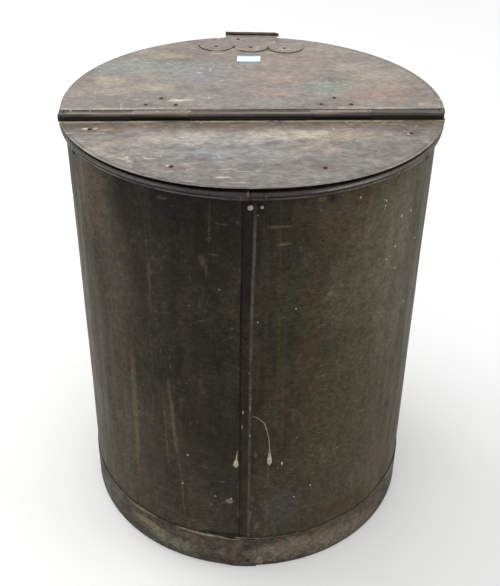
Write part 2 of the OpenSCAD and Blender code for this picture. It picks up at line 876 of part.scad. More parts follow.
drum_shell();
rim_hoop();
foot_band();
foot_band_rivets();
drum_bottom();
pivot_cup();
front_lid();
hinge_rod();
lid_bracket(0);  // lid_bracket_1
lid_bracket(1);  // lid_bracket_2
lid_bracket(2);  // lid_bracket_3
lid_bracket(3);  // lid_bracket_4
bracket_rivets();
crossbar();
crossbar_rivets();
wall_bearing();
wall_bearing_bolts();
spindle_bearing();
spindle_bearing_bolts();
shaft_pedestal();
pedestal_bolts();
gate_neck();
gate_body();
gate_pivot_bolt();
gate_blade();
gate_thumb_nut();
lid_flap();
hinge_strap(0);  // hinge_strap_left
hinge_strap(1);  // hinge_strap_right
strap_rivets();
lifting_tab();
tab_rivets();
blank_label();
spindle();
bevel_pinion();
reel_pins();
top_spider();
bottom_spider();
reel_post(0);  // reel_post_1
reel_post(1);  // reel_post_2
reel_post(2);  // reel_post_3
reel_post(3);  // reel_post_4
wire_screen(0);  // wire_screen_1
wire_screen(1);  // wire_screen_2
wire_screen(2);  // wire_screen_3
wire_screen(3);  // wire_screen_4
frame_rest(0);  // frame_rest_1
frame_rest(1);  // frame_rest_2
frame_rest(2);  // frame_rest_3
frame_rest(3);  // frame_rest_4
crank_shaft();
bevel_gear();
gear_pin();
shaft_collar();
crank_arm();
crank_nut();
grip_pin();
crank_grip();
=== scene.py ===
"""Tin honey extractor: looks, floor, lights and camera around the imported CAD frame."""

import json
import math
import random

import bmesh
import bpy
import numpy as np
from mathutils import Matrix, Vector, noise


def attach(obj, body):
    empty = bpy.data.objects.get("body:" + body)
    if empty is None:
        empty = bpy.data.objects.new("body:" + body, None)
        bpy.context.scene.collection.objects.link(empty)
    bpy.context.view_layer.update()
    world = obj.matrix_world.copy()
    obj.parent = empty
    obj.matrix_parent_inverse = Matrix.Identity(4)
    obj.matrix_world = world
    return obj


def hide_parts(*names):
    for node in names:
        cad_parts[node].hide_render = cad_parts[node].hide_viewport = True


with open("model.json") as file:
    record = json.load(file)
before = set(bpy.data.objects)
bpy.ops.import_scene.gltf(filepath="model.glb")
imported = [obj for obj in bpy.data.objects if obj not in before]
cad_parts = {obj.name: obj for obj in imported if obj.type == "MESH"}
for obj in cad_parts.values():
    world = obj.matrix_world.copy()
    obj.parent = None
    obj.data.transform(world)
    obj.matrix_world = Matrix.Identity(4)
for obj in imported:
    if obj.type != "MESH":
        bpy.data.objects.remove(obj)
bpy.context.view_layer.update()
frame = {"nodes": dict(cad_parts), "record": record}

# Sizes below are in millimetres, and make() turns them into metres.
MM = 0.001
DRUM_R, DRUM_IN = 242.0, 240.8
WALL_LOW, WALL_TOP = 20.0, 618.4
BAND_H, BAND_SHEET, BAND_LAP = 59.0, 1.4, 1.75
SEAM_FROM, RIDGE_LOW, RIDGE_HIGH = -4.3, -1.57, -0.90
HOOP_Z, HOOP_H, FIX_Z, LID_TOP = 606.0, 10.0, 595.0, 621.0
BEAD_OUT, LOW_BEAD, HIGH_BEAD = 4.4, 2.4, 3.2
STEP_Y = -28.8
SHEET, EDGE_R = 1.2, 0.35
LID_R, FLAP_R, FLAP_X = 250.0, 248.0, 1.5
FLAP_FRONT, FLAP_KNEE, FLAP_LEFT, FLAP_RIGHT = -55.8, -25.0, -240.2, 240.7
HINGE_Y, HINGE_Z, TUBE_R, ROD_R = -61.0, 625.5, 4.2, 3.0
TUBE_ENDS = (-242.6, 239.8)
STRAP_X, STRAP_W = (-116.0, 111.0), 72.0
LID_FIX = ((-66, 220), (-27, 216), (21, 213), (61, 219))
STRAP_RIVETS = ((-21, 46), (-2, 67), (18, 45))
TAB_RIVETS = ((-51.5, -9), (0, -9), (50, -9), (-21, 25))
TAB_AT, TAB_TURN = (7.0, 208.0), math.radians(-5.5)
TAB_PLATE_W, LOBE, LOBE_R = 153.0, 25.5, 26.8
TAB_ENDS, TAB_REACH, LIP_SLOPE, LIP_R = (-41.3, 36.7), 47.1, math.tan(math.radians(2.6)), 2.6
TAB_LOW, TAB_HIGH = 0.03, 1.02
LABEL_AT, LABEL_HALF, LABEL_TURN, PAPER = (1.5, 152.0), (16.5, 12.0), math.radians(-3), 0.22
CRANK_Z, CRANK_LEN = 564.0, 150.0
GRIP_Y, GRIP_LEN, GRIP_R, GRIP_SWELL, GRIP_BORE = 277.0, 92.0, 10.0, 5.5, 5.06
GATE_Z, BORE_R = 89.0, 20.5
REEL_LOW, REEL_HIGH, POST_XY = 112.0, 472.0, 157.0
SCREEN_HALF, MESH, WIRE_R, WEAVE = 151.98, 15.0, 0.7, 0.75
RUN_H, DROP_H = 0.8, 0.7


# --- meshes ---


def smooth(edge0, edge1, x):
    """0 before edge0, 1 after edge1, and a smooth rise between them."""
    t = min(max((x - edge0) / (edge1 - edge0), 0), 1)
    return t * t * (3 - 2 * t)


def wobble(x, y, z, size, seed):
    """Soft noise from -1 to 1, with features about size millimetres across."""
    return noise.noise(Vector((x / size + seed, y / size - seed, z / size + 2 * seed)))


def cylinder_point(azimuth, radius, z):
    """A point at an azimuth from the front (-Y), in degrees, growing towards +X."""
    a = math.radians(azimuth)
    return (radius * math.sin(a), -radius * math.cos(a), z)


def arc(x, y, radius, first, last, count):
    """Points of an arc in a profile: its centre, its radius and its angles in degrees."""
    angles = np.radians(np.linspace(first, last, count))
    return [(x + radius * math.cos(a), y + radius * math.sin(a)) for a in angles]


def tab_plan(u, v):
    """The place on the flap of a point of the lifting tab, across it and along it."""
    x = TAB_AT[0] + u * math.cos(TAB_TURN) - v * math.sin(TAB_TURN)
    y = TAB_AT[1] + u * math.sin(TAB_TURN) + v * math.cos(TAB_TURN)
    return x, y


STRAP_HOLES = [(sx + dx, HINGE_Y + dy) for sx in STRAP_X for dx, dy in STRAP_RIVETS]
LID_HOLES = [cylinder_point(a, r, 0)[:2] for a, r in LID_FIX]


def make(name, shell, body, slot, replaced=None, material=None, sharp=38):
    """A mesh object from a shell's points in millimetres and its faces, riding on a body."""
    verts, faces = shell
    mesh = bpy.data.meshes.new(name)
    mesh.from_pydata((np.asarray(verts, float) * MM).tolist(), [], faces)
    bm = bmesh.new()
    bm.from_mesh(mesh)
    bmesh.ops.recalc_face_normals(bm, faces=bm.faces)
    bm.to_mesh(mesh)
    bm.free()
    mesh.shade_smooth()
    mesh.set_sharp_from_angle(angle=math.radians(sharp))
    mesh.materials.append(material or BY_SLOT[slot])
    obj = bpy.data.objects.new(name, mesh)
    bpy.context.scene.collection.objects.link(obj)
    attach(obj, body)
    if replaced:
        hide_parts(replaced)
    return obj


def loft(rings, loop=False):
    """Points and faces of a skin over closed rings, capped at its ends unless it loops."""
    rings = np.asarray(rings, float)
    n, m = rings.shape[:2]
    faces = []
    for i in range(n if loop else n - 1):
        a, b = i * m, (i + 1) % n * m
        faces += [(a + j, a + (j + 1) % m, b + (j + 1) % m, b + j) for j in range(m)]
    if not loop:
        faces += [tuple(reversed(range(m))), tuple(range((n - 1) * m, n * m))]
    return rings.reshape(-1, 3).tolist(), faces


def join(parts):
    """One list of points and one of faces from several closed shells."""
    verts, faces = [], []
    for v, f in parts:
        base = len(verts)
        verts += [tuple(p) for p in v]
        faces += [tuple(base + k for k in face) for face in f]
    return verts, faces


def axes(direction):
    """Unit vectors along a direction and twice across it."""
    w = Vector(direction).normalized()
    u = w.orthogonal().normalized()
    return w, u, w.cross(u)


def lathe(profile, origin, axis, steps, squash, turn):
    """A turned shell. The profile is (radius, height along axis), from pole to pole."""
    w, u, v = axes(axis)
    o = Vector(origin)
    verts = [o + w * profile[0][1]]
    for r, h in profile[1:-1]:
        for k in range(steps):
            a = turn + 2 * math.pi * k / steps
            verts.append(o + w * h + u * (r * math.cos(a)) + v * (r * squash * math.sin(a)))
    verts.append(o + w * profile[-1][1])
    last = len(verts) - 1
    pairs = [(k, (k + 1) % steps) for k in range(steps)]
    faces = [(0, 1 + k, 1 + l) for k, l in pairs]
    for a in range(1, last - steps, steps):
        faces += [(a + k, a + steps + k, a + steps + l, a + l) for k, l in pairs]
    faces += [(last - steps + k, last, last - steps + l) for k, l in pairs]
    return verts, faces


def round_lathe(profile, origin, axis, steps=48):
    """A turned shell with a bore: the profile is a closed ring of (radius, height)."""
    w, u, v = axes(axis)
    rings = []
    for k in range(steps):
        a = 2 * math.pi * k / steps
        out = u * math.cos(a) + v * math.sin(a)
        rings.append([tuple(Vector(origin) + out * r + w * h) for r, h in profile])
    return loft(rings, loop=True)


def bar(path, radius, sides):
    """A round bar along a path of points, with flat ends."""
    points = [Vector(p) for p in path]
    side = (points[1] - points[0]).normalized().orthogonal().normalized()
    rings = []
    for i, p in enumerate(points):
        t = (points[min(len(points) - 1, i + 1)] - points[max(0, i - 1)]).normalized()
        side = (side - t * side.dot(t)).normalized()
        up = t.cross(side)
        angles = [2 * math.pi * k / sides for k in range(sides)]
        rings.append([tuple(p + (side * math.cos(a) + up * math.sin(a)) * radius) for a in angles])
    return loft(rings)


# --- materials ---


def srgb(code):
    """A linear colour from a hexadecimal screen colour."""
    parts = [int(code[i:i + 2], 16) / 255 for i in (1, 3, 5)]
    return (*(c / 12.92 if c <= 0.04045 else ((c + 0.055) / 1.055) ** 2.4 for c in parts), 1)


class Finish:
    """A material under construction. Its colour is what over() and tint() add to.

    Lengths and places are in metres, but in millimetres in spot(), spots() and stains().
    """

    def __init__(self, name, metallic=0, specular=0.5):
        self.material = bpy.data.materials.new(name)
        self.material.use_nodes = True
        self.tree = self.material.node_tree
        self.tree.nodes.clear()
        output = self.tree.nodes.new("ShaderNodeOutputMaterial")
        self.shader = self.tree.nodes.new("ShaderNodeBsdfPrincipled")
        self.tree.links.new(self.shader.outputs[0], output.inputs[0])
        self.shader.inputs["Metallic"].default_value = metallic
        self.shader.inputs["Specular IOR Level"].default_value = specular
        self.place = self.node("TexCoord", {}, "Object")
        self.x, self.y, self.z = self.node("SeparateXYZ", {0: self.place}).node.outputs
        self.colour = self.u = None

    def feed(self, socket, value):
        if isinstance(value, bpy.types.NodeSocket):
            self.tree.links.new(value, socket)
        else:
            socket.default_value = value

    def node(self, kind, inputs, output=0, **settings):
        """An output of a new node, with its settings and its inputs."""
        node = self.tree.nodes.new("ShaderNode" + kind)
        for key, value in settings.items():
            setattr(node, key, value)
        for key, value in inputs.items():
            self.feed(node.inputs[key], value)
        return node.outputs[output]

    def stretch(self, scale, offset=(0, 0, 0)):
        """The place, scaled along each axis, for streaks."""
        return self.node("VectorMath", {0: self.place, 1: scale, 2: offset}, operation="MULTIPLY_ADD")

    def noise(self, scale, detail=4, rough=0.55, distort=0, at=None):
        """Noise round 0.5, with features about 1 / scale metres across."""
        return self.node("TexNoise", {"Vector": at or self.place, "Scale": scale, "Detail": detail,
                                      "Roughness": rough, "Distortion": distort}, "Fac")

    def cells(self, scale, at=None):
        """Distance to the nearest of many scattered points."""
        return self.node("TexVoronoi", {"Vector": at or self.place, "Scale": scale}, "Distance")

    def span(self, value, low, high, out_low=0, out_high=1):
        """A smooth change from out_low to out_high as a value runs from low to high."""
        return self.node("MapRange", {"Value": value, "From Min": low, "From Max": high, "To Min": out_low,
                                      "To Max": out_high}, interpolation_type="SMOOTHSTEP")

    def math(self, operation, a, b=0):
        return self.node("Math", {0: a, 1: b}, operation=operation)

    def times(self, *values):
        result = values[0]
        for value in values[1:]:
            result = self.math("MULTIPLY", result, value)
        return result

    def band(self, value, rise, full, end, fade):
        """1 from full to fade, and 0 outside rise and end."""
        return self.times(self.span(value, rise, full), self.span(value, end, fade))

    def patches(self, low, high, *noise, to=(0, 1)):
        """Noise as patches: the first value of to below low, and the second above high."""
        return self.span(self.noise(*noise), low, high, *to)

    def plus_noise(self, value, amount, *noise):
        return self.math("ADD", value, self.times(self.noise(*noise), amount))

    def mix(self, share, a, b, blend="MIX"):
        a, b = (srgb(c) if isinstance(c, str) else c for c in (a, b))
        return self.node("Mix", {0: share, 6: a, 7: b}, 2, data_type="RGBA", blend_type=blend)

    def ramp(self, value, *stops):
        node = self.tree.nodes.new("ShaderNodeValToRGB")
        elements = node.color_ramp.elements
        while len(elements) < len(stops):
            elements.new(0.5)
        for element, (at, colour) in zip(elements, stops):
            element.position = at
            element.color = srgb(colour)
        self.feed(node.inputs[0], value)
        return node.outputs[0]

    def start(self, value, *stops):
        """The first colour, from a value and (place, tone) stops."""
        self.colour = self.ramp(value, *stops)

    def over(self, tone, *masks):
        """A tone over the colour so far, as strong as its masks multiplied together."""
        self.colour = self.mix(self.times(*masks), self.colour, tone)

    def tint(self, low, high, *noise, share=1):
        """The colour made darker or lighter by noise, from low to high times as bright."""
        self.colour = self.mix(share, self.colour, self.patches(0.3, 0.7, *noise, to=(low, high)), "MULTIPLY")

    def layers(self, rough, distort, rows):
        """Patches of other tones: stretch, offset, scale, threshold from and to, strength, tone."""
        for scale, offset, size, low, high, strength, tone in rows:
            where = self.patches(low, high, size, 6, rough, distort, self.stretch(scale, offset))
            self.over(tone, where, strength)

    def upward(self):
        """1 on faces that look up when the part is at rest, and 0 on the rest."""
        normal = self.node("TexCoord", {}, "Normal")
        return self.span(self.node("SeparateXYZ", {0: normal}, 2), 0.2, 0.4)

    def crevice_shade(self, distance):
        """1 in corners and under edges, and 0 in the open: a mask for painted shade."""
        return self.span(self.node("AmbientOcclusion", {"Distance": distance}, "AO", samples=6), 0.85, 0.35)

    def around(self):
        """Distance round the drum wall from its front, growing towards +X."""
        if self.u is None:
            azimuth = self.math("ARCTAN2", self.x, self.times(self.y, -1))
            self.u = self.times(azimuth, DRUM_R * MM)
        return self.u

    def spot(self, centre, radii, soft, ragged, grain=60, at=None):
        """1 inside an ellipsoid in millimetres, fading to 0 outside, with a ragged edge."""
        away = self.node("VectorMath", {0: at or self.place, 1: [1 / (r * MM) for r in radii],
                                        2: [-c / r for c, r in zip(centre, radii)]}, operation="MULTIPLY_ADD")
        length = self.node("VectorMath", {0: away}, "Value", operation="LENGTH")
        rough = self.times(self.math("SUBTRACT", self.noise(grain, 5, 0.6), 0.5), 2 * ragged)
        return self.span(self.math("ADD", length, rough), 1 + soft / 2, 1 - soft / 2)

    def spots(self, soft, ragged, grain, rows, deep=20):
        """Marks on the lid: centre x and y, radii, tone and strength."""
        def mark(x, y, rx, ry, tone, strength=0.5):
            self.over(tone, self.spot((x, y, LID_TOP), (rx, ry, deep), soft, ragged, grain), strength)

        for row in rows:
            mark(*row)

    def stains(self, soft, ragged, grain, rows):
        """Marks on the drum: distance round it, height, radii, tone, strength, and lean per height."""
        def mark(u, z, ru, rz, tone, strength=0.5, lean=0):
            shift = self.times(self.math("SUBTRACT", self.z, z * MM), -lean)
            at = self.node("CombineXYZ", {0: self.math("ADD", self.around(), shift), 2: self.z})
            self.over(tone, self.spot((u, 0, z), (ru, 1e5, rz), soft, ragged, grain, at), strength)

        for row in rows:
            mark(*row)

    def done(self, rough, *bumps, metallic=None):
        """The material, given its roughness, or (low, high, noise), and bumps: height, strength, noise."""
        if isinstance(rough, tuple):
            rough = self.patches(0.3, 0.7, *rough[2:], to=rough[:2])
        values = {"Base Color": self.colour, "Roughness": rough}
        if metallic is not None:
            values["Metallic"] = metallic
        for height, strength, *noise in bumps:
            inputs = {"Distance": height, "Strength": strength, "Height": self.noise(*noise)}
            if "Normal" in values:
                inputs["Normal"] = values["Normal"]
            values["Normal"] = self.node("Bump", inputs)
        for key, value in values.items():
            self.feed(self.shader.inputs[key], value)
        return self.material


def lid_finish():
    """Oxidised zinc with streaks along the hinge, stains, scratches and grime, plus painted shade and
    highlights.
    """
    f = Finish("zinc_lid", 0.12, 0.25)
    x, y = f.x, f.y
    streaks = f.stretch((0.6, 1, 1))
    front = f.span(y, -0.05, -0.07)
    f.start(f.noise(16, 8, 0.66, 0.5, streaks),
            (0.3, "#75706a"), (0.45, "#857f78"), (0.56, "#91887f"), (0.7, "#a2978a"))
    f.layers(0.62, 0.6, (
        ((0.7, 1, 1), (3, 1, 0), 9, 0.5, 0.66, 0.45, "#7f8483"),
        ((0.7, 1, 1), (9, 4, 0), 8, 0.5, 0.66, 0.4, "#8c7a75"),
        ((0.8, 1, 1), (1, 7, 2), 12, 0.56, 0.72, 0.35, "#7e877b"),
        ((0.7, 1, 1), (5, 5, 5), 34, 0.55, 0.72, 0.5, "#aba091"),
        ((0.7, 1, 1), (7, 2, 5), 50, 0.56, 0.72, 0.4, "#69635d"),
    ))
    f.spots(0.9, 1, 70, (
        (-120, 165, 26, 12, "#b3a889", 0.45), (-122, 46, 22, 14, "#b0a68f"),
        (-99, -1, 10, 4, "#d0c4b0", 1), (-86, 1, 9, 3, "#c2b6a2", 0.9),
        (-190, 70, 22, 16, "#aca28e", 0.6), (-160, 120, 70, 30, "#8a968f"), (-60, 100, 60, 40, "#858a8c"),
        (40, 90, 60, 40, "#98877e", 0.45), (60, 150, 70, 16, "#988278"), (120, 40, 60, 26, "#88948a"),
        (170, 60, 40, 30, "#a5978a"), (175, 20, 50, 26, "#987f74", 0.6), (150, 120, 40, 16, "#aa9c8d"),
        (205, 25, 18, 10, "#7d736b", 0.4), (30, 30, 60, 18, "#968480"), (0, -4, 90, 8, "#8b8f84"),
        (-90, -114, 50, 20, "#b7ada2"), (40, -108, 46, 14, "#bfb4a3", 0.6), (78, -112, 34, 14, "#ada18f"),
        (-30, -120, 60, 14, "#a9a9a5"), (130, -116, 44, 18, "#a99b8a"), (-20, -160, 70, 24, "#8b8f8f"),
        (60, -190, 80, 30, "#7d7b79", 0.6), (70, -146, 26, 9, "#998a7d", 0.4),
        (-140, -160, 50, 34, "#8b8985"), (-205, -98, 60, 22, "#716c67", 0.65),
        (-150, -100, 50, 16, "#827d78", 0.6), (-180, -92, 16, 6, "#a08a6c", 0.6),
        (205, -104, 36, 26, "#706c69", 0.65), (150, -150, 56, 26, "#77736f", 0.6),
        (225, -72, 22, 5, "#ab9670", 0.7), (10, -215, 90, 16, "#a09d99", 0.4),
    ), 40)
    # Painted shade: a darker brown band on the front part, just in front of the hinge tube.
    below = f.plus_noise(y, 0.03, 22, 5, 0.6, 0, streaks)
    f.over("#63584d", f.span(below, -0.098, -0.06), f.span(y, -0.06, -0.0615), 0.85)
    f.over("#6b6a68", f.span(y, -0.165, -0.215), 0.55)
    dust = f.band(y, -0.0712, -0.0692, -0.0658, -0.0668)
    f.over("#c0b296", dust, f.patches(0.36, 0.52, 14, 5, 0.6, 0, streaks), 0.85)
    crumbs = f.times(f.span(f.cells(150), 0.26, 0.14), f.patches(0.52, 0.66, 26, 4, 0.6))
    f.over("#d8cdb8", crumbs, f.band(y, -0.088, -0.072, -0.062, -0.064))
    # Painted shade in the lowered groove between the step and the hinge tube, weaker over the straps.
    near = [f.band(x, (s - 38) * MM, (s - 35) * MM, (s + 38) * MM, (s + 35) * MM) for s in STRAP_X]
    groove = f.band(y, STEP_Y * MM, (STEP_Y - 0.8) * MM, -0.06, -0.059)
    f.over("#47413a", groove, f.span(f.math("ADD", *near), 0, 1, 0.82, 0.25))
    # Painted shadow in the corner at the foot of the step.
    corner = f.band(y, (STEP_Y + 0.2) * MM, (STEP_Y - 1) * MM, (STEP_Y - 4.2) * MM, (STEP_Y - 2.2) * MM)
    f.over("#2b2722", corner, f.patches(0.3, 0.5, 20, 4, 0.5, 0, streaks), 0.8)
    # Painted highlight along the step's lip.
    lip = f.band(y, (STEP_Y - 0.3) * MM, (STEP_Y + 0.5) * MM, (STEP_Y + 3.2) * MM, (STEP_Y + 1.8) * MM)
    f.over("#c9bfb0", lip, f.patches(0.4, 0.56, 18, 5, 0.6, 0, streaks), 0.8)
    holes = [(*hole, 9) for hole in LID_HOLES] + [(*hole, 7) for hole in STRAP_HOLES]
    f.spots(1, 0.9, 160, [(hx + 1, hy - 1, r * 1.3, r, "#6b5444", 0.35) for hx, hy, r in holes])
    chips = ((-205, -89, 3.4), (-194, -88, 2), (-102, -190, 2), (190, -108, 3),
             (-152, -172, 4), (-146, -180, 3))
    f.spots(1, 1, 300, [(cx, cy, r * 1.3, r, "#c3b9a9", 0.75) for cx, cy, r in chips])
    radius = f.math("SQRT", f.math("ADD", f.times(x, x), f.times(y, y)))
    f.over("#57514a", f.band(radius, 0.2445, 0.2456, 0.2482, 0.2466), f.patches(0.36, 0.54, 9, 4), 0.55)
    where = f.patches(0.42, 0.62, 12, 4, 0.6, 0, f.stretch((0.6, 1, 1), (2, 8, 1)))
    scratches = f.patches(0.6, 0.7, 170, 3, 0.6, 0.3, f.stretch((0.14, 1, 1)))
    f.over("#c4bbad", scratches, where, f.math("ADD", 0.35, f.times(front, 0.4)))
    f.over("#cdc6ba", f.patches(0.64, 0.72, 150, 3, 0.6, 1.2, f.stretch((0.5, 0.35, 1), (4, 4, 4))), 0.5)
    uneven = f.math("ADD", 0.45, f.times(front, 0.5))
    f.tint(0.7, 1.3, 80, 6, 0.7, 0.4, streaks, share=uneven)
    f.tint(0.8, 1.2, 260, 4, 0.65, 0, streaks)
    # A dark line round the tab's scalloped edge on the flap's top: dirt and painted shadow of the tab's edge.
    scallop = 0
    for i in (-1, 0, 1):
        centre = (*tab_plan(LOBE * 2 * i, 0), LID_TOP)
        wide, narrow = (LOBE_R + 1.7,) * 2 + (60,), (LOBE_R - 0.6,) * 2 + (60,)
        line = f.math("SUBTRACT", f.spot(centre, wide, 0.05, 0.03), f.spot(centre, narrow, 0.02, 0.02))
        scallop = f.math("MAXIMUM", scallop, line)
    sine, cosine = math.sin(TAB_TURN), math.cos(TAB_TURN)
    local_y = f.math("ADD", f.times(x, -sine), f.times(y, cosine))
    edge = (TAB_AT[1] * cosine - TAB_AT[0] * sine - 2.5) * MM
    f.over("#3a322b", scallop, f.span(local_y, edge, edge - 0.001), f.upward(),
           f.patches(0.3, 0.55, 60, 4, 0.6, to=(0.25, 0.85)))
    scrapes = ((-42, 176, 12, 2.5), (-44, 186, 8, 2), (-12, 191, 9, 2.2), (-20, 195, 5, 2),
               (34, 178, 8, 2), (58, 190, 10, 2))
    f.spots(0.9, 1, 160, [(*scrape, "#c3b39d", 0.6) for scrape in scrapes])
    # Painted shade in crevices and under edges.
    f.over("#2a251f", f.crevice_shade(0.008), 0.8)
    return f.done((0.5, 0.7, 30, 5, 0.6, 0, streaks),
                  (0.0007, 0.6, 70, 6, 0.6, 0.3, streaks), (0.0002, 0.5, 400, 3, 0.6, 0, streaks))


def tube_finish(name, *tones):
    """The curled edge round the hinge rod: a painted highlight over wear along its top, near black with
    painted shade below.
    """
    f = Finish(name, 0.2, 0.35)
    streaks = f.stretch((0.25, 1, 1))
    f.start(f.noise(60, 6, 0.65, 0.3, streaks), *zip((0.3, 0.5, 0.7), tones))
    height = f.plus_noise(f.z, 0.0012, 40, 4, 0.6, 0, streaks)
    # Painted shade: the lower half of the curl near black.
    f.over("#110f0c", f.span(height, 0.6284, 0.6264), f.span(f.z, 0.6192, 0.62), 0.92)
    # Painted highlight along the top, broken by patches of wear.
    worn = f.patches(0.4, 0.56, 16, 5, 0.6, 0, streaks)
    f.over("#8d867b", f.span(height, 0.6291, 0.63), worn, 0.7)
    # Painted highlight: a bright glint along the back of the left part.
    back = (HINGE_Y - 0.4) * MM
    f.over("#cfcac0", f.span(f.y, back, back + 0.0005), f.band(f.x, -0.185, -0.205, -0.236, -0.228))
    f.over("#a8a195", f.spot((-152, HINGE_Y + 1, LID_TOP + 8), (5, 2.6, 5), 0.7, 0.9, 260), 0.75)
    lines = f.patches(0.5, 0.58, 500, 3, 0.5, 0, f.stretch((0.01, 1, 1)))
    f.over("#1f1c18", lines, f.span(f.x, 0.14, 0.15), 0.6)
    return f.done((0.42, 0.6, 80, 4), (0.0005, 0.5, 120, 5, 0.6, 0, streaks))


def wall_finish():
    """Dark tarnished sheet with rust streaks, dust, specks and fine scratches, plus painted sheen, shade and
    shadows.
    """
    f = Finish("tarnished_wall", specular=0.09)
    x, z = f.x, f.z
    f.start(f.noise(26, 7, 0.64, 0.4, f.stretch((1, 1, 0.4))),
            (0.3, "#1c1912"), (0.46, "#27231a"), (0.58, "#302b20"), (0.74, "#3c3628"))
    # Lighter towards +X.
    f.over("#4a4534", f.span(x, 0.005, 0.15), 0.62)
    # Painted sheen: lighter towards the sides, where the wall turns away.
    f.over("#564d40", f.span(x, -0.1, -0.235), f.span(z, 0.6, 0.12, 0.25, 1), 0.6)
    f.over("#6a6154", f.span(x, -0.205, -0.24), 0.55)
    f.over("#5f574a", f.span(x, 0.2, 0.238), 0.35)
    f.over("#433d33", f.span(z, 0.34, 0.07), 0.4)
    # Painted shadow of the lid and hoop over the top middle of the wall.
    f.over("#100f0b", f.span(z, 0.44, 0.6), f.span(x, 0.14, -0.02), 0.75)
    f.layers(0.64, 0.4, (
        ((1, 1, 0.06), (4, 4, 1), 55, 0.56, 0.68, 0.45, "#3c2c20"),
        ((1, 1, 0.2), (8, 1, 4), 24, 0.5, 0.66, 0.22, "#3e3d2b"),
        ((1, 1, 0.06), (2, 2, 8), 80, 0.62, 0.74, 0.25, "#6c6452"),
        ((1, 1, 0.6), (6, 2, 8), 36, 0.58, 0.72, 0.35, "#57503f"),
        ((1, 1, 0.5), (1, 9, 8), 48, 0.58, 0.72, 0.45, "#17150f"),
    ))
    f.stains(0.9, 0.7, 50, (
        # The first row is painted shade to the left of the seam.
        (-36, 290, 40, 210, "#15140e", 0.42), (-100, 300, 60, 220, "#1a1811", 0.22),
        (-176, 250, 5, 110, "#57513e", 0.55, 0.02), (-174, 340, 4, 30, "#4b3a2a"),
        (-180, 130, 5, 40, "#4b3c2d", 0.4), (-124, 235, 1.6, 60, "#4f4935", 0.5, -0.02),
        (-112, 260, 3, 70, "#585246", 0.5, -0.063), (-103, 150, 1.2, 70, "#4c4637", 0.55, -0.05),
        (11.5, 400, 1.7, 170, "#3a2a20", 0.5, -0.01), (27, 380, 1.8, 190, "#40301f", 0.5, -0.01),
        (35.5, 330, 2, 170, "#3e2f21", 0.5, -0.01), (57, 420, 4.4, 160, "#412f20", 0.5, -0.045),
        (74, 360, 4, 190, "#422f1f", 0.4, -0.02), (43, 480, 5, 44, "#2c3129"),
        (8, 530, 6, 24, "#2c2d2e", 0.4), (92, 300, 3.4, 170, "#42301f", 0.4),
        # The near-black blots at 594 to 601 mm, beside the wall rivets and the bar rivets, are painted
        # shadows of their heads.
        (73, 599, 6, 2.4, "#716f64", 0.4, 0.4), (82, 598, 4, 8, "#040403", 1),
        (-116, 600, 7, 5, "#0e0c0a", 0.8), (-113, 594, 5, 2, "#504f4b", 0.6, 0.5),
        (-6, 599, 9, 5, "#070806", 0.9), (-277, 595, 4, 8, "#0e0c0a", 0.8),
        (267, 601, 4, 7, "#0e0c0a", 0.8), (18, 100, 4, 42, "#4c3a2d"), (40, 110, 22, 34, "#434240", 0.45),
        (-34, 130, 5, 4, "#7d7869", 0.6), (-20, 106, 3, 8, "#6d685b", 0.3),
        (-60, 120, 3, 4, "#6a6558", 0.25), (-2, 137, 3, 6, "#6d6a60", 0.3), (-5, 105, 2, 8, "#6d6a60", 0.3),
        # The dark line at 63 mm is a painted shadow along the foot band's top.
        (5, 82, 3, 10, "#77736a", 0.25, 0.2), (-40, 63, 34, 2.6, "#0d0c09", 0.8),
        (91, 467, 4, 2.4, "#77725f"), (25, 569, 12, 2, "#6a6350", 0.35),
        (29, 546, 8, 2, "#6a6350", 0.35), (31, 512, 6, 2, "#17140f", 0.6, 0.6),
        (128, 590, 20, 13, "#3d2b1e", 0.6), (100, 560, 30, 30, "#453a29"), (70, 585, 30, 20, "#3b342a"),
        (160, 500, 36, 90, "#544e3f"), (110, 460, 30, 60, "#4d473a", 0.4),
        (150, 80, 70, 14, "#41301f", 0.5, -0.1), (206, 110, 26, 60, "#4c3d31"),
        (196, 540, 26, 60, "#5a5246"), (200, 420, 30, 120, "#5a5247", 0.45), (-240, 560, 40, 60, "#5d5142"),
        (-200, 480, 26, 120, "#453d30", 0.4),
    ))
    f.stains(0.7, 0.5, 200, [(u, h, r, r * 1.3, "#b1aa9a", 0.8) for u, h, r in (
        (201, 538, 1.6), (224, 536, 1.2), (249, 484, 1.1), (194, 498, 1.3), (179, 485, 0.9),
        (199, 464, 1.2), (238, 392, 1.2), (166, 572, 1.2), (165, 566, 1), (123, 590, 1), (1, 438, 1),
        (47, 454, 0.9),
    )])
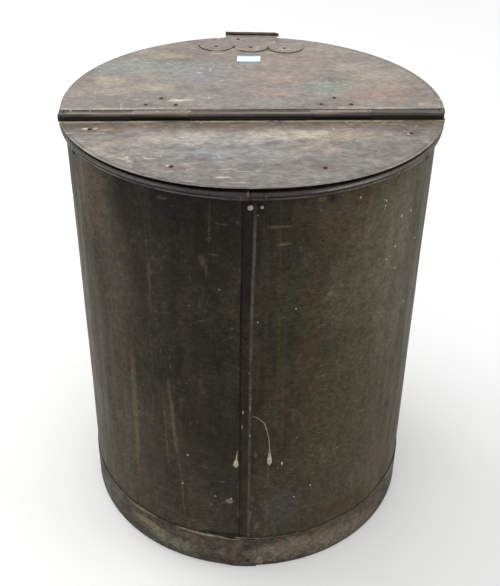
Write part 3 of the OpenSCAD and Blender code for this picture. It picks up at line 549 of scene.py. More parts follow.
    # The seam is painted: its strip and groove darker as painted shade, its ridge lighter as a painted
    # highlight, patchy like wear.
    degree = DRUM_R * MM * math.pi / 180
    middle = f.span(z, 0.4, 0.6, RIDGE_LOW * degree, RIDGE_HIGH * degree)
    across = f.plus_noise(f.math("SUBTRACT", f.around(), middle), 0.0012, 40, 4, 0.6)
    seam = f.band(z, 0.058, 0.064, 0.607, 0.603)
    strip = f.band(across, -0.0135, -0.0122, -0.0012, -0.003)
    f.over("#14120f", strip, seam, f.span(z, 0.33, 0.52, 0.3, 0.85))
    groove = f.band(across, -0.0145, -0.0134, -0.0112, -0.0124)
    f.over("#0e0c0a", groove, seam, f.span(z, 0.1, 0.45, 0.45, 0.9))
    ridge = f.band(across, -0.002, -0.0005, 0.0028, 0.0012)
    f.over("#4b463d", ridge, seam, f.span(z, 0.6, 0.56, 0.3, 1),
           f.patches(0.32, 0.6, 30, 5, 0.6, to=(0.25, 0.8)))
    scrawl = f.math("ABSOLUTE", f.math("SUBTRACT", f.noise(70, 4, 0.6, 2.5), 0.5))
    f.over("#625d50", f.span(scrawl, 0.01, 0.003), f.patches(0.46, 0.6, 20, 3),
           f.span(z, 0.6, 0.45, 0.1, 0.35))
    for scale, offset, size in (((0.22, 0.22, 1), (1, 2, 3), 230), ((1, 1, 0.2), (5, 1, 2), 260)):
        where = f.patches(0.44, 0.62, 13, 4, 0.6, 0, f.stretch((1, 1, 1), offset))
        f.over("#716b5e", f.patches(0.62, 0.72, size, 3, 0.6, 0.8, f.stretch(scale, offset)), where,
               f.span(z, 0.6, 0.45, 0.12, 0.4))
    f.over("#736d61", f.span(f.cells(170), 0.2, 0.1), f.patches(0.5, 0.64, 34, 4, 0.6), 0.3)
    f.over("#a9a391", f.span(f.cells(60), 0.085, 0.05), f.patches(0.58, 0.64, 14, 3, 0.6), 0.45)
    pits = f.span(f.cells(90, f.stretch((1, 1, 1), (2, 2, 2))), 0.18, 0.08)
    f.over("#100e0b", pits, f.patches(0.48, 0.62, 24, 4, 0.6), 0.7)
    f.tint(0.76, 1.24, 110, 6, 0.7, 0.3)
    f.tint(0.74, 1.28, 300, 4, 0.65, 0, f.stretch((0.6, 0.6, 1.2)))
    f.colour = f.mix(1, f.colour, "#fdfffa", "MULTIPLY")
    # Painted shade in crevices, weaker near the band's top.
    f.over("#0f0d0a", f.crevice_shade(0.012), f.span(z, 0.066, 0.09, 0.25, 0.85))
    return f.done((0.46, 0.68, 60, 5, 0.6, 0, f.stretch((1, 1, 0.12))),
                  (0.0008, 0.5, 50, 5, 0.6, 0.2), (0.0002, 0.5, 380, 3, 0.6))


def hoop_finish():
    """Dark tin with a painted highlight along its upper bead, painted shade in its valley and crevices, and a
    lap joint at the front.
    """
    f = Finish("tarnished_hoop", 0.1, 0.35)
    x, z = f.x, f.z
    f.start(f.noise(60, 6, 0.65, 0.4), (0.3, "#171510"), (0.5, "#25221d"), (0.68, "#38342d"))
    f.over("#766f63", f.patches(0.6, 0.72, 130, 5, 0.7, 0.3), 0.6)
    # Painted highlight along the upper bead.
    f.over("#5c564d", f.band(z, 0.6118, 0.6136, 0.616, 0.6148), 0.45)
    # Painted shade in the valley between the beads.
    f.over("#0e0c0a", f.band(z, 0.6086, 0.6098, 0.6116, 0.6106), 0.85)
    f.over("#716a5e", f.band(z, 0.607, 0.6078, 0.6092, 0.6084), f.patches(0.4, 0.6, 24, 5, 0.6), 0.6)
    f.over("#14110e", f.band(x, -0.17, -0.05, 0.12, 0.02), 0.5)
    f.stains(0.6, 0.4, 120, (
        (-12, 611, 14, 9, "#2a1f1e", 0.6), (-12.4, 615, 0.8, 3, "#6e6a66", 0.6),
        (-10, 611, 1.1, 9, "#080706", 1), (-20, 609, 0.9, 3, "#5e5954"), (4, 611, 1.2, 5, "#0b0a09", 0.8),
        # The long pale lines at 613 mm are painted highlights along the upper bead.
        (7, 611, 1.4, 2, "#5e5954"), (-150, 613, 60, 1.2, "#5c5a54"), (110, 613, 50, 1.2, "#8a857c"),
    ))
    f.tint(0.75, 1.3, 220, 5, 0.65)
    # Painted shade in crevices.
    f.over("#17130f", f.crevice_shade(0.006), 0.4)
    return f.done((0.35, 0.55, 80, 4), (0.0004, 0.6, 220, 4, 0.6))


def foot_finish():
    """Grey band with rust, grime along its top, pale rust and a painted highlight along its top edge, painted
    shade in crevices, and scratches.
    """
    f = Finish("grimy_foot", 0.05, 0.15)
    z = f.z
    around = f.stretch((1, 1, 1.8))
    f.start(f.noise(34, 8, 0.68, 0.5, around),
            (0.28, "#2a261f"), (0.46, "#3a352c"), (0.58, "#4a4439"), (0.74, "#5c5548"))
    f.layers(0.66, 0.5, (
        ((1, 1, 0.7), (5, 2, 0), 26, 0.52, 0.66, 0.65, "#432e1f"),
        ((1, 1, 1.6), (2, 7, 0), 60, 0.58, 0.7, 0.65, "#7b7262"),
        ((1, 1, 1.2), (8, 7, 3), 50, 0.56, 0.68, 0.6, "#1e1b15"),
        ((1, 1, 2.6), (3, 3, 9), 110, 0.62, 0.72, 0.6, "#8f8670"),
    ))
    f.stains(0.9, 0.8, 70, (
        (-205, 46, 16, 14, "#45362a", 0.6), (-165, 36, 26, 8, "#80765a", 0.5, -0.3),
        (-120, 22, 40, 12, "#6d675a", 0.6), (-60, 57, 44, 1.6, "#8b806c", 0.9),
        (-20, 30, 22, 24, "#443529", 0.35), (-178, 55, 24, 1.8, "#7a6c4a", 0.7),
        (9, 12, 5, 14, "#84796a", 0.7), (60, 30, 40, 18, "#56503f"),
        (130, 46, 60, 10, "#493c30", 0.5, -0.1), (190, 30, 40, 16, "#483a2f"),
        (90, 26, 80, 20, "#635b4d", 0.6), (150, 20, 60, 14, "#5f574b"), (20, 24, 24, 16, "#675f52"),
    ))
    grime = f.span(f.plus_noise(z, 0.012, 60, 4), 0.0585, 0.0655)
    f.over("#1b1813", grime, f.patches(0.4, 0.6, 16, 4, to=(0.1, 0.5)))
    # Pale rust and a painted highlight along the band's top edge, weaker towards +X.
    f.over("#776d5c", f.span(z, 0.056, 0.0572), f.patches(0.38, 0.54, 12, 4, 0.6),
           f.span(f.x, 0.02, -0.03, 0.25, 1), 0.7)
    f.over("#15120e", f.span(z, 0.003, 0.001), 0.8)
    f.tint(0.64, 1.42, 100, 6, 0.7, 0.3)
    f.tint(0.7, 1.36, 280, 4, 0.65, 0, f.stretch((0.7, 0.7, 1.6)))
    f.over("#857b69", f.patches(0.62, 0.72, 150, 4, 0.6, 0.4, f.stretch((0.6, 0.6, 1.6), (3, 1, 2))), 0.5)
    # Painted shade in crevices.
    f.over("#0f0d0a", f.crevice_shade(0.006), 0.8)
    return f.done((0.48, 0.72, 50, 5), (0.0012, 0.6, 60, 6, 0.65, 0.4, around), (0.0003, 0.4, 360, 3))


def worn_finish(name, tones, rust, rusty, metallic, rough, scale, grain=(1, 1, 1), depth=0.0006, darker_below_lid=0):
    """A worn metal: three tones, rust in patches, roughness, bump, and darker below the lid's height."""
    f = Finish(name, metallic, 0.45)
    at = f.stretch(grain)
    f.start(f.noise(scale, 6, 0.62, 0.3, at), *zip((0.3, 0.5, 0.7), tones))
    low = 0.66 - rusty / 3
    patches = f.patches(low, low + 0.12, scale * 0.9, 6, 0.66, 0.5, f.stretch(grain, (3, 5, 7)))
    f.over(rust, patches, 0.85)
    # Darker below the lid's height.
    if darker_below_lid:
        f.over("#191713", f.span(f.z, LID_TOP * MM, HOOP_Z * MM, 0, darker_below_lid))
    fine = (scale * 9, 4, 0.6, 0, at)
    f.colour = f.mix(0.25, f.colour, f.ramp(f.noise(*fine), (0.3, "#504a44"), (0.7, "#c4bfb6")), "OVERLAY")
    uneven = f.patches(0.3, 0.7, scale * 2, 5, to=(rough - 0.08, rough + 0.1))
    return f.done(f.math("ADD", uneven, f.times(patches, 0.2)),
                  (depth, 0.6, scale * 3, 5, 0.65), (depth / 3, 0.5, *fine),
                  metallic=f.math("SUBTRACT", metallic, f.times(patches, metallic * 0.7)))


def wood_finish():
    f = Finish("turned_wood", specular=0.35)
    rings = (260, 5, 0.6, 1.2, f.stretch((1, 0.06, 1)))
    f.start(f.noise(*rings), (0.3, "#3f2b1c"), (0.5, "#5c412a"), (0.68, "#755638"))
    f.over("#38281b", f.patches(0.5, 0.72, 40, 5, 0.6, 0.5), 0.6)
    return f.done((0.42, 0.62, *rings), (0.0004, 0.5, *rings))


def label_finish():
    """Blank white paper with a printed blue edge along its two long sides."""
    f = Finish("label_paper", specular=0.3)
    f.start(f.noise(900, 3), (0.2, "#e9eef2"), (0.8, "#f8fafb"))
    from_middle = f.math("ABSOLUTE", f.math("SUBTRACT", f.y, LABEL_AT[1] * MM))
    f.over("#4fb2dd", f.span(from_middle, 0.0092, 0.01), 0.85)
    return f.done(0.6, (0.0001, 0.3, 900, 3))


def paint_finish():
    """Old cream paint, thin and dull above the foot of each run."""
    f = Finish("old_paint", specular=0.45)
    f.start(f.noise(220, 5, 0.6), (0.3, "#807c6a"), (0.55, "#9b9780"), (0.75, "#b3ae9b"))
    f.over("#5b584b", f.span(f.z, 0.216, 0.224), f.patches(0.3, 0.6, 60, 3, 0.6, to=(0.95, 0.6)))
    return f.done(0.5, (0.0002, 0.5, 500, 3))


# slot: name, three tones, rust, how rusty, metallic, roughness, scale, grain, depth and darkening below the
# lid
WORN = {
    "rust_iron": ("rusted_iron", ("#1c1713", "#2f241d", "#46352a"), "#4f3423", 0.35, 0.2, 0.7, 120,
                  (1, 1, 1), 0.0004, 0.7),
    "solder": ("dull_solder", ("#6e6c66", "#8d8b84", "#aeaba2"), "#5a4a3b", 0.2, 0.6, 0.42, 160,
               (1, 1, 1), 0.0004),
    "forged_iron": ("forged_iron", ("#2a2826", "#3b3835", "#4e4a45"), "#573c29", 0.35, 0.5, 0.5, 45),
    "cast_iron": ("cast_iron", ("#232323", "#323130", "#434140"), "#4b3527", 0.3, 0.45, 0.5, 70,
                  (1, 1, 1), 0.0008),
    "gate_brass": ("aged_brass", ("#544630", "#6f5d3e", "#8a7450"), "#45443a", 0.3, 0.8, 0.4, 50),
    "bright_steel": ("worn_steel", ("#7b7975", "#97948f", "#b2afa9"), "#5c4534", 0.2, 0.85, 0.36, 60),
    "tinned_iron": ("tinned_iron", ("#77746c", "#918d84", "#aaa69b"), "#5f4936", 0.25, 0.6, 0.45, 60),
}
BY_SLOT = {slot: worn_finish(*settings) for slot, settings in WORN.items()}
BY_SLOT.update(
    wall_tin=wall_finish(), foot_tin=foot_finish(), lid_tin=lid_finish(), grip_wood=wood_finish(),
    label_paper=label_finish(), strap_tin=tube_finish("hinge_strap_zinc", "#372f27", "#4e443a", "#6b6055"))
TUBE = tube_finish("hinge_tube_zinc", "#2a2622", "#403a34", "#5a5249")
LIP = worn_finish("tab_lip_zinc", ("#3e342b", "#5b4c3f", "#7c6c5b"), "#42301f", 0.4, 0.2, 0.6, 60,
                  (0.5, 1, 1))

for part in frame["record"]["subparts"]:
    node = frame["nodes"][part["node"]]
    node.data.materials.clear()
    node.data.materials.append(BY_SLOT[part["material_slot"]])


# --- drum ---


def wall_bulge(azimuth, z):
    """Dents of the wall, in millimetres; none where the hoop, the band and the fittings sit."""
    x, y, _ = cylinder_point(azimuth, DRUM_R, 0)
    free = smooth(64, 130, z) * (1 - smooth(560, 600, z)) * (1 - smooth(150, 220, y))
    return free * (0.9 * wobble(x, y, z * 0.7, 150, 1.3) + 0.25 * wobble(x, y, z, 45, 5.1) - 0.2)


def seam_height(azimuth, z):
    """How far the lapped seam stands out of the wall."""
    if not -6 < azimuth < 1.5:
        return 0
    ends = smooth(60, 61.5, z) * (1 - smooth(603, 605, z))
    az = azimuth - 0.05 * wobble(0, 0, z, 60, 2.2)
    groove = -0.5 * math.exp(-((az - SEAM_FROM + 0.22) / 0.14) ** 2)
    middle = RIDGE_LOW + (RIDGE_HIGH - RIDGE_LOW) * smooth(400, 600, z)
    strip = smooth(SEAM_FROM - 0.08, SEAM_FROM + 0.06, az) * (1 - smooth(middle + 0.2, middle + 0.7, az))
    ridge = 1.3 * math.exp(-(abs(az - middle) / 0.52) ** 3)
    valley = -0.3 * math.exp(-((az - middle + 0.93) / 0.22) ** 2)
    return ends * (groove + 1.2 * strip + ridge + valley)


def wall_out(azimuth, z):
    """Radius of the wall's outer face."""
    return DRUM_R + wall_bulge(azimuth, z) + seam_height(azimuth, z)


def drum_wall():
    fine = np.arange(-5.4, 0.81, 0.12)
    azimuths = np.concatenate([np.arange(-179.4, -5.5, 1.2), fine, np.arange(1.2, 180.1, 1.2)])
    heights = np.concatenate([[WALL_LOW, 40, 58, 60.2, 61.2, 62.2, 64], np.arange(72, 600, 8),
                              [600, 602.8, 604, 605.2, 608, WALL_TOP]])
    rings = []
    for az in azimuths:
        ring = [cylinder_point(az, wall_out(az, z), z) for z in heights]
        rings.append(ring + [cylinder_point(az, DRUM_IN + wall_bulge(az, z), z) for z in heights[::-4]])
    wall = make("drum_wall", loft(rings, loop=True), "drum", "wall_tin", "drum_shell")
    bpy.ops.mesh.primitive_cylinder_add(
        vertices=48, radius=BORE_R * MM, depth=0.06, rotation=(math.pi / 2, 0, 0),
        location=(0, DRUM_R * MM, GATE_Z * MM))
    cutter = bpy.context.object
    cut = wall.modifiers.new("cut", "BOOLEAN")
    cut.operation, cut.object, cut.solver = "DIFFERENCE", cutter, "EXACT"
    bpy.context.view_layer.update()
    done = bpy.data.meshes.new_from_object(wall.evaluated_get(bpy.context.evaluated_depsgraph_get()))
    wall.modifiers.clear()
    wall.data = done
    wall.data.set_sharp_from_angle(angle=math.radians(38))
    bpy.data.objects.remove(cutter)


def rim_hoop():
    def profile(grow, az):
        lift = 0.25 * wobble(*cylinder_point(az, DRUM_R, 0), 70, 3.3)
        ring = [(DRUM_R + 0.02, HOOP_Z - grow), (DRUM_R + 3.2, HOOP_Z - 0.2 - grow)]
        ring += arc(DRUM_R + BEAD_OUT, HOOP_Z + 2.2, LOW_BEAD + grow, -70, 50, 7)
        ring += [(DRUM_R + 5.3 + grow, HOOP_Z + 4.15)]
        ring += arc(DRUM_R + BEAD_OUT, HOOP_Z + 6.6, HIGH_BEAD + grow, -42, 95, 9)
        ring += [(DRUM_R + out, HOOP_Z + HOOP_H + grow) for out in (2, 0.02)]
        return [(r + (0.15 * lift if r > DRUM_R + 1 else 0), z + 0.3 * lift) for r, z in ring]

    lap_from, lap_to, slant = -9.5, -2.6, 0.09
    azimuths = np.unique(np.round(np.concatenate([
        np.arange(-180, 180, 2), np.arange(lap_from - 0.3, lap_from + 0.31, 0.15),
        lap_to + np.array([-1.2, -0.6, -0.25, -0.05, 0.05, 0.4, 1])]), 3))
    rings = []
    for az in azimuths:
        grow = 0.55 * smooth(lap_from - 0.3, lap_from + 0.3, az) if az < lap_to else 0
        lean = slant if abs(az - lap_to) < 0.3 else 0
        middle = HOOP_Z + HOOP_H / 2
        rings.append([cylinder_point(az + lean * (z - middle), r, z) for r, z in profile(grow, az)])
    make("rim_bead", loft(rings, loop=True), "drum", "wall_tin", "rim_hoop", hoop_finish(), 50)


def foot_band():
    start, end = -6, 361.1
    azimuths = np.concatenate([np.arange(start, 345, 1.2), np.arange(345, 361, 0.8), [361, end]])
    rings = []
    for az in azimuths:
        over = smooth(348, 353.5, az)
        x, y, _ = cylinder_point(az, DRUM_R, 0)
        ripple = 0.2 * (1 + wobble(x, y, 0, 55, 4)) * smooth(start, 8, az) * (1 - smooth(335, 350, az))
        r_in = DRUM_R + 0.05 + BAND_LAP * over
        r_out = r_in + BAND_SHEET
        top = BAND_H - 0.6 + 0.9 * wobble(x, y, 0, 60, 7) - 2.2 * over
        hem = r_in - 2 * (1 - over) - 0.02
        flare = 0.5 * (1 + wobble(x, y, 9, 80, 2)) * (1 - over)
        waves = ((52, 0.9), (44, 1), (34, 1), (24, 0.8), (14, 0.5))
        ring = [(r_in + ripple * 0.4, top), (r_in + 0.7 + ripple * 0.5, top + 0.35),
                (r_out + ripple * 0.6, top - 0.3)]
        ring += [(r_out + ripple * k, z) for z, k in waves]
        ring += [(r_out + 0.2 * flare, 7), (r_out + 0.5 * flare, 2.5), (r_out + 0.2 * flare - 0.4, 0.5),
                 (r_out - 1, 0), (hem + 1, 0), (hem, 1), (hem, 7), (hem + 0.6, 8), (r_in, 8.2)]
        ring += [(r_in + ripple * k, z) for z, k in reversed(waves)]
        rings.append([cylinder_point(az, r, z) for r, z in ring])
    make("foot_band_sheet", loft(rings), "drum", "foot_tin", "foot_band", sharp=45)


# --- rivets ---


def dome(radius, height):
    """(radius, height) points of a head's outline, from its pole to its rim."""
    return [(radius * math.sin(a), height * math.cos(a)) for a in np.linspace(0, math.pi / 2, 6)]


def rivet(at, axis, radius, height, grip, back, seed):
    """A rivet with a hammered head, a shank of that grip and a head behind, back times as wide."""
    rng = random.Random(seed)
    k = 1 + rng.uniform(-0.08, 0.08)
    front = [(r * k, h) for r, h in dome(radius, height)]
    rear = [(r * back, -grip - h * 0.8) for r, h in dome(radius, height)][::-1]
    shank = [(radius * 0.5, 0), (radius * 0.5, -grip)]
    return lathe(front + shank + rear, at, axis, 20, rng.uniform(0.88, 1), rng.uniform(0, 3))


def rivet_group(name, body, slot, replaced, rivets):
    shell = join([rivet(*r, seed=i + len(name)) for i, r in enumerate(rivets)])
    make(name, shell, body, slot, replaced, sharp=60)


# --- lid ---


def strap_mask(x, y):
    """1 over a strap's leaf, and 0 away from it."""
    most = 0
    for sx in STRAP_X:
        u, v = abs(x - sx), y - HINGE_Y
        half = STRAP_W / 2 - max(v - 38, 0) * 0.68
        most = max(most, (1 - smooth(half - 2, half + 2, u)) * (1 - smooth(73, 78, v)))
    return most


def dents(x, y, places, spread):
    """Shallow dents round rivets: 1 at each place and 0 away from it."""
    return sum(math.exp(-((x - px) ** 2 + (y - py) ** 2) / spread) for px, py in places)


def flap_lift(x, y):
    """Height of the flap's surface over its nominal plane."""
    wave = 0.45 * wobble(x, y, 0, 190, 2) + 0.2 * wobble(x, y, 0, 70, 6) + 0.25
    strap = 0.45 * strap_mask(x, y)
    step = 0
    if FLAP_LEFT < x < FLAP_RIGHT:
        step = -(1 - strap) * (1 - smooth(STEP_Y - 0.9, STEP_Y + 0.3, y))
        wave *= smooth(STEP_Y - 2, STEP_Y + 20, y)
    return wave + step + strap * smooth(STEP_Y - 1, STEP_Y + 4, y) - 0.35 * dents(x, y, STRAP_HOLES, 40)


def front_lift(x, y):
    """Height of the front part's surface over its nominal plane."""
    wave = 0.5 * wobble(x, y, 0, 160, 8) + 0.2 * wobble(x, y, 0, 60, 3) + 0.2
    return wave * smooth(-62, -84, y) - 0.4 * dents(x, y, LID_HOLES, 55)


def sheet_faces(n, m):
    """Faces of two grids of points, n by m, one below the other; and the points round the first."""
    size, faces = n * m, []
    for a in (i * m + j for i in range(n - 1) for j in range(m - 1)):
        faces += [(a, a + m, a + m + 1, a + 1), (size + a, size + a + 1, size + a + m + 1, size + a + m)]
    rim = list(range(m)) + [i * m + m - 1 for i in range(1, n)]
    rim += [(n - 1) * m + j for j in range(m - 2, -1, -1)] + [i * m for i in range(n - 2, 0, -1)]
    return faces, rim


def sheet_plate(columns, lift, thick):
    """A sheet from columns of (x, y) points: both faces, and a rounded edge between them."""
    faces, rim = sheet_faces(len(columns), len(columns[0]))
    plan = np.array(columns, float).reshape(-1, 2)
    top = np.array([lift(*p) for p in plan])[:, None] + LID_TOP
    along = np.roll(plan[rim], -1, 0) - np.roll(plan[rim], 1, 0)
    length = np.maximum(np.linalg.norm(along, axis=1), 1e-9)
    edge = plan[rim] + EDGE_R * np.stack([-along[:, 1], along[:, 0]], 1) / length[:, None]
    verts = np.block([[plan, top], [plan, top - thick],
                      [edge, top[rim] - EDGE_R], [edge, top[rim] - thick + EDGE_R]])
    size, count = len(plan), len(rim)
    for k, (a, b) in enumerate(zip(rim, rim[1:] + rim[:1])):
        u0, u1 = 2 * size + k, 2 * size + (k + 1) % count
        w0, w1 = u0 + count, u1 + count
        faces += [(a, b, u1, u0), (u0, u1, w1, w0), (w0, w1, size + b, size + a)]
    return verts, faces


def front_plate():
    columns = []
    for azimuth in np.linspace(-75.6, 75.6, 130):
        x, low, _ = cylinder_point(azimuth, LID_R - 3.8 * math.exp(-((azimuth - 4) / 22) ** 2), 0)
        columns.append([(x * 0.9986, y) for y in np.linspace(low, HINGE_Y, 34)])
    make("front_lid_sheet", sheet_plate(columns, front_lift, SHEET), "drum", "lid_tin", "front_lid")


def flap_plate():
    step = [STEP_Y + d for d in (-1.6, -1, -0.7, -0.4, -0.1, 0.2, 0.5)]
    fixed = [FLAP_FRONT, -50, -44, -38, -33, *step, FLAP_KNEE]
    ends = [FLAP_LEFT - 0.05, FLAP_LEFT + 0.05, FLAP_RIGHT - 0.05, FLAP_RIGHT + 0.05]
    xs = FLAP_X + FLAP_R * np.sin(np.radians(np.linspace(-89, 89, 150)))
    columns = []
    for x in sorted([x for x in xs if abs(x + 240) > 0.6 and abs(x - 240.5) > 0.6] + ends):
        back = math.sqrt(FLAP_R ** 2 - (x - FLAP_X) ** 2)
        front = FLAP_FRONT if FLAP_LEFT < x < FLAP_RIGHT else max(-back, -45)
        knee = FLAP_KNEE if front < -30 else front + 0.2 * (back - front)
        rows = [front + (y - FLAP_FRONT) / (FLAP_KNEE - FLAP_FRONT) * (knee - front) for y in fixed]
        columns.append([(x, y) for y in [*rows, *np.linspace(knee, back, 56)[1:]]])
    make("flap_sheet", sheet_plate(columns, flap_lift, SHEET), "flap", "lid_tin", "lid_flap")


def hinge_tube(name, x0, x1, seed):
    """A length of the front part's edge, curled up and over the hinge rod."""
    rings = []
    for x in np.linspace(x0, x1, max(6, int((x1 - x0) / 6))):
        swell = 0.12 * wobble(x, 0, 0, 40, seed)
        r_out, r_in, foot = TUBE_R - 0.1 + swell, ROD_R + 0.12, LID_TOP - HINGE_Z - 0.05
        ring = [(-r_out, foot), (-r_out, -2.2)] + arc(0, 0, r_out, 180, -72, 30)
        ring += arc(0, 0, r_in, -72, 180, 22) + [(-r_in, -2), (-r_in - 0.05, foot)]
        rings.append([(x, HINGE_Y + y, HINGE_Z + z) for y, z in ring])
    make(name, loft(rings), "drum", "lid_tin", material=TUBE, sharp=50)


def tab_local(u, v, up):
    """A point of the lifting tab: across it, along it, and up from the flap."""
    x, y = tab_plan(u, v)
    reach = min(1, (FLAP_R - 2) / math.hypot(x - FLAP_X, y))
    return (x, y, LID_TOP + flap_lift(FLAP_X + (x - FLAP_X) * reach, y * reach) + up)


def tongue_end(u):
    """How far the tab reaches at a place across it."""
    return TAB_REACH + (u - sum(TAB_ENDS) / 2) * LIP_SLOPE


def lifting_tab():
    half = TAB_PLATE_W / 2 - 0.3
    left, right = TAB_ENDS
    us = np.concatenate([np.linspace(-half, left - 0.1, 40), np.linspace(left, right, 75),
                         np.linspace(right + 0.1, half, 40)])
    plan = []
    for u in us:
        centre = 2 * LOBE * round(u / (2 * LOBE))
        low = -math.sqrt(max(LOBE_R ** 2 - (u - centre) ** 2, 0))
        high = tongue_end(u) - 1.5 if left <= u <= right else 9 - 3 * smooth(half - 8, half, abs(u))
        plan += [(u, v) for v in np.linspace(low, high, 22)]
    verts = [tab_local(u, v, up) for up in (TAB_HIGH, TAB_LOW) for u, v in plan]
    faces, rim = sheet_faces(len(us), 22)
    faces += [(a, b, len(plan) + b, len(plan) + a) for a, b in zip(rim, rim[1:] + rim[:1])]
    make("tab_plate", (verts, faces), "flap", "lid_tin", "lifting_tab")
    rings = []
    for u in np.linspace(left - 0.6, right + 2.6, 44):
        sway = 0.35 * wobble(u, 0, 0, 16, 9) - 1.6 * smooth(right - 4, right + 2.6, u)
        centre = (tongue_end(u), LIP_R + sway)
        ring = arc(*centre, LIP_R, -100, 170, 26) + arc(*centre, LIP_R - 1, 170, -100, 22)
        rings.append([tab_local(u, v, up + TAB_LOW) for v, up in ring])
    make("tab_lip", loft(rings), "flap", "lid_tin", material=LIP, sharp=50)


def label():
    (middle_x, middle_y), (wide, deep) = LABEL_AT, LABEL_HALF
    sine, cosine = math.sin(LABEL_TURN), math.cos(LABEL_TURN)
    columns = [[(middle_x + u * cosine - v * sine, middle_y + u * sine + v * cosine)
                for v in np.linspace(-deep, deep, 9)] for u in np.linspace(-wide, wide, 12)]

    def lift(x, y):
        corner = smooth(10, 17, abs(x - middle_x)) * smooth(6, 12, abs(y - middle_y))
        return flap_lift(x, y) + 0.35 + 0.5 * corner

    make("paper_label", sheet_plate(columns, lift, PAPER), "flap", "label_paper", "blank_label")


# --- paint on the wall ---


def paint_run(path, height):
    """A dried run of paint along (azimuth, z, half width) points on the wall."""
    rings = []
    t = np.linspace(0, len(path) - 1, 10 * (len(path) - 1) + 1)
    line = np.stack([np.interp(t, range(len(path)), row) for row in zip(*path)], 1)
    for k, (az, z, w) in enumerate(line):
        before, after = line[max(0, k - 1)], line[min(len(line) - 1, k + 1)]
        du, dz = math.radians(after[0] - before[0]) * DRUM_R, after[1] - before[1]
        size = math.hypot(du, dz) or 1
        w *= 1 + 0.18 * wobble(az * 4, z, 0, 6, 1)
        outline = [(s, min(height, w * 0.5) * math.sqrt(1 - s * s) - 0.02) for s in np.linspace(-1, 1, 9)]
        outline += [(s, -0.3) for s in np.linspace(0.9, -0.9, 5)]
        ring = []
        for s, thick in outline:
            a = az + math.degrees(-dz / size * s * w / DRUM_R)
            h = z + du / size * s * w
            ring.append(cylinder_point(a, wall_out(a, h) + thick, h))
        rings.append(ring)
    return loft(rings)


def paint_blob(az, z, w, h):
    """A flat drop of paint on the wall."""
    angles = np.linspace(math.pi - 0.06, 0.06, 7)
    return paint_run([(az, z - h * math.cos(a), max(0.15, w * math.sin(a))) for a in angles], DROP_H)


def paint():
    runs = [
        ((-5.5, 226, 0.4), (-5.6, 219, 0.6), (-5.75, 211, 1.1), (-5.85, 205, 3), (-5.9, 199, 3.7),
         (-5.9, 195, 0.6)),
        ((-0.9, 288, 0.4), (0.4, 285.5, 0.8), (1.7, 280.5, 0.7), (2.94, 274.5, 0.7), (3.71, 262, 0.7),
         (4.35, 249, 0.7), (4.62, 238, 0.8), (4.72, 228, 0.9), (4.78, 219, 1.5), (4.8, 211, 3.1),
         (4.8, 204, 3), (4.8, 199, 0.6)),
    ]
    # azimuth, height and radii
    blobs = (
        (8.87, 200.6, 1.2, 3.4), (-3.77, 295.5, 0.9, 3), (-4, 269.7, 0.8, 3.8), (-1.67, 304, 0.7, 4.2),
        (-1.54, 256, 0.9, 2.6), (-2.11, 360, 0.7, 1.3), (-21.8, 204.6, 1.3, 1.8), (-24, 147.7, 1.4, 1.6),
        (19.05, 148, 1.3, 2), (13.5, 132.1, 1.2, 1.4), (-7.45, 135.3, 1.6, 1.4), (-12.6, 136.8, 1.1, 1.4),
    )
    shells = [paint_run(path, RUN_H) for path in runs] + [paint_blob(*blob) for blob in blobs]
    make("paint_marks", join(shells), "drum", "wall_tin", material=paint_finish(), sharp=60)


# --- reel screens and grip ---


def wire_screen(index):
    """A frame of bent bar with woven wires; index 0 stands at +X."""
    low, high = REEL_LOW + 6, REEL_HIGH - 6
    sine, cosine = math.sin(math.radians(90 * index)), math.cos(math.radians(90 * index))

    def place(x, y, z):
        return (cosine * (POST_XY + x) - sine * y, sine * (POST_XY + x) + cosine * y, z)

    corner, thick = 5, 2.5
    section = ((-1.3, 2.2), (0.2, thick), (2.8, thick), (3.5, 1.9), (3.5, -1.9), (2.8, -thick), (0.2, -thick),
               (-1.3, -2.2))
    path = []
    for cx, cz, first in ((1, 1, 0), (-1, 1, 90), (-1, -1, 180), (1, -1, 270)):
        middle_z = (low + high) / 2 + cz * ((high - low) / 2 - thick - corner)
        path += arc(cx * (SCREEN_HALF - thick - corner), middle_z, corner, first, first + 90, 6)
    rings = []
    for k, (y, z) in enumerate(path):
        (py, pz), (ny, nz) = path[k - 1], path[(k + 1) % len(path)]
        t = Vector((ny - py, nz - pz)).normalized()
        rings.append([place(dx, y + t[1] * d, z - t[0] * d) for dx, d in section])
    parts = [loft(rings, loop=True)]
    ys = np.arange(-135, 136, MESH)
    zs = np.arange(low + 17, high - 10, MESH)
    wires = []
    for i, y in enumerate(ys):
        over = [(1 - WEAVE * (-1) ** (i + j), y, z) for j, z in enumerate(zs)]
        wires.append([(1, y, low + 3), *over, (1, y, high - 3)])
    for j, z in enumerate(zs):
        over = [(1 + WEAVE * (-1) ** (i + j), y, z) for i, y in enumerate(ys)]
        wires.append([(1, 3 - SCREEN_HALF, z), *over, (1, SCREEN_HALF - 3, z)])
    parts += [bar([place(*p) for p in path], WIRE_R, 6) for path in wires]
    name = f"wire_screen_{index + 1}"
    make(f"woven_screen_{index + 1}", join(parts), "reel", "tinned_iron", name, sharp=60)


def crank_grip():
    def ends(t, inset, width):
        return sum(math.exp(-((t - at) / width) ** 2) for at in (inset, 1 - inset))

    ts = np.linspace(0, 1, 40)
    swell = [GRIP_R + GRIP_SWELL * math.sin(math.radians(15 + t * 150)) for t in ts]
    outer = [(r - 1.6 * ends(t, 0, 0.02) - 0.5 * ends(t, 0.09, 0.012), t * GRIP_LEN)
             for r, t in zip(swell, ts)]
    bore = [(GRIP_BORE, GRIP_LEN), (GRIP_BORE, 0)]
    shell = round_lathe(outer + bore, (0, GRIP_Y, CRANK_Z - CRANK_LEN), (0, 1, 0))
    make("turned_grip", shell, "grip", "grip_wood", "crank_grip")


# --- build ---

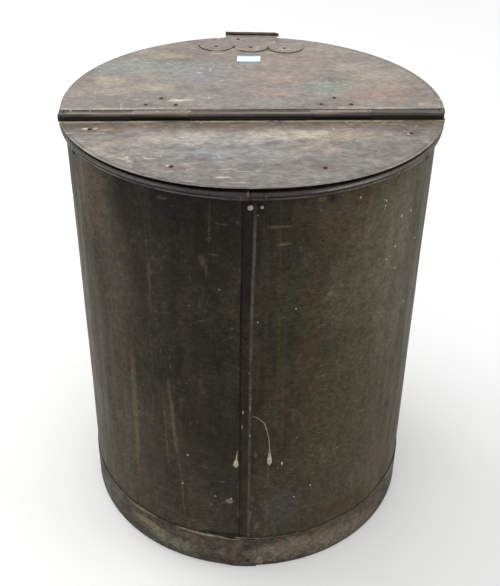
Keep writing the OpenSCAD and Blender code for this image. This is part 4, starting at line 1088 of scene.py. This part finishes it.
drum_wall()
rim_hoop()
foot_band()
front_plate()
flap_plate()
gaps = [(x - STRAP_W / 2 - 0.4, x + STRAP_W / 2 + 0.4) for x in STRAP_X]
hinge_tube("hinge_tube_left", TUBE_ENDS[0], gaps[0][0], 1)
hinge_tube("hinge_tube_middle", gaps[0][1], gaps[1][0], 2)
hinge_tube("hinge_tube_right", gaps[1][1], TUBE_ENDS[1], 3)
lifting_tab()
label()
paint()
for number in range(4):
    wire_screen(number)
crank_grip()

# Each rivet: its place, axis, head radius and height, grip, and size of its rear head.
UP = (0, 0, 1)
lid_rivets = []
for (x, y), (a, _) in zip(LID_HOLES, LID_FIX):
    lid_rivets.append(((x, y, LID_TOP + front_lift(x, y) + 0.05), UP, 3, 1.1, 3.6, 0.9))
    lid_rivets.append((cylinder_point(a, DRUM_R + 0.1, FIX_Z), cylinder_point(a, 1, 0), 3.6, 1.7, 3.6, 0.9))
rivet_group("lid_bracket_rivets", "drum", "rust_iron", "bracket_rivets", lid_rivets)
rivet_group("hinge_strap_rivets", "flap", "rust_iron", "strap_rivets",
            [((x, y, LID_TOP + flap_lift(x, y) + 0.05), UP, 2.9, 0.9, 3.6, 0.9) for x, y in STRAP_HOLES])
rivet_group("scallop_rivets", "flap", "rust_iron", "tab_rivets",
            [(tab_local(u, v, 1.05), UP, 2.7, 0.9, 2.4, 0.9) for u, v in TAB_RIVETS])
LAP_AT = -1.7
rivet_group("foot_lap_rivets", "drum", "rust_iron", "foot_band_rivets",
            [(cylinder_point(LAP_AT, DRUM_R + 3.2, z), cylinder_point(LAP_AT, 1, 0), 3.3, 1.5, 2.9, 0.6)
             for z in (13, 41)])
rivet_group("bar_rivets", "drum", "solder", "crossbar_rivets",
            [((x, -math.sqrt(DRUM_R ** 2 - x ** 2) - off, FIX_Z), (0, -1, 0), r, 2, off + 7.2, 0.95)
             for x, off, r in ((-9.7, 1.2, 3.6), (3.2, 0.1, 2.3))])

# --- floor, light and camera ---

scene = bpy.context.scene
scene.view_settings.view_transform = "Standard"

floor_finish = Finish("pale_floor", specular=0.1)
floor_finish.start(floor_finish.noise(0.8, 2), (0.3, "#efefef"), (0.7, "#f3f3f2"))
# Painted light: the floor is lighter towards -X, lifting the drum's shadow on its left.
floor_finish.over("#fdfdfc", floor_finish.span(floor_finish.x, 0.2, -0.5))
bpy.ops.mesh.primitive_plane_add(size=60, location=(0, 0, -0.0005))
floor = bpy.context.object
floor.name = "floor"
floor.data.materials.append(floor_finish.done(0.9))

world = bpy.data.worlds.new("studio")
scene.world = world
world.use_nodes = True
sky = world.node_tree.nodes["Background"]
sky.inputs[0].default_value = (1, 1, 1, 1)
sky.inputs[1].default_value = 0.95


def area_light(name, at, size, power):
    """A round light that looks at the middle of the drum."""
    data = bpy.data.lights.new(name, "AREA")
    data.shape, data.size, data.energy = "DISK", size, power
    obj = bpy.data.objects.new(name, data)
    obj.location = at
    obj.rotation_euler = (Vector((0, 0, 0.3)) - Vector(at)).to_track_quat("-Z", "Y").to_euler()
    scene.collection.objects.link(obj)


area_light("key", (-1.6, 1, 2.9), 2.2, 34)
area_light("right_fill", (2.6, -0.6, 1.8), 1.8, 16)

CAMERA_AT = (-0.0476, -1.1448, 1.0911)
heading, pitch, roll = (math.radians(angle) for angle in (2.45, -34.05, 0.76))
lens = bpy.data.cameras.new("camera")
lens.lens, lens.sensor_width, lens.sensor_fit = 57, 36, "AUTO"
lens.clip_start, lens.clip_end = 0.05, 60
camera = bpy.data.objects.new("camera", lens)
camera.matrix_world = (Matrix.Translation(CAMERA_AT) @ Matrix.Rotation(-heading, 4, "Z")
                       @ Matrix.Rotation(math.pi / 2 + pitch, 4, "X") @ Matrix.Rotation(roll, 4, "Z"))
scene.collection.objects.link(camera)
scene.camera = camera
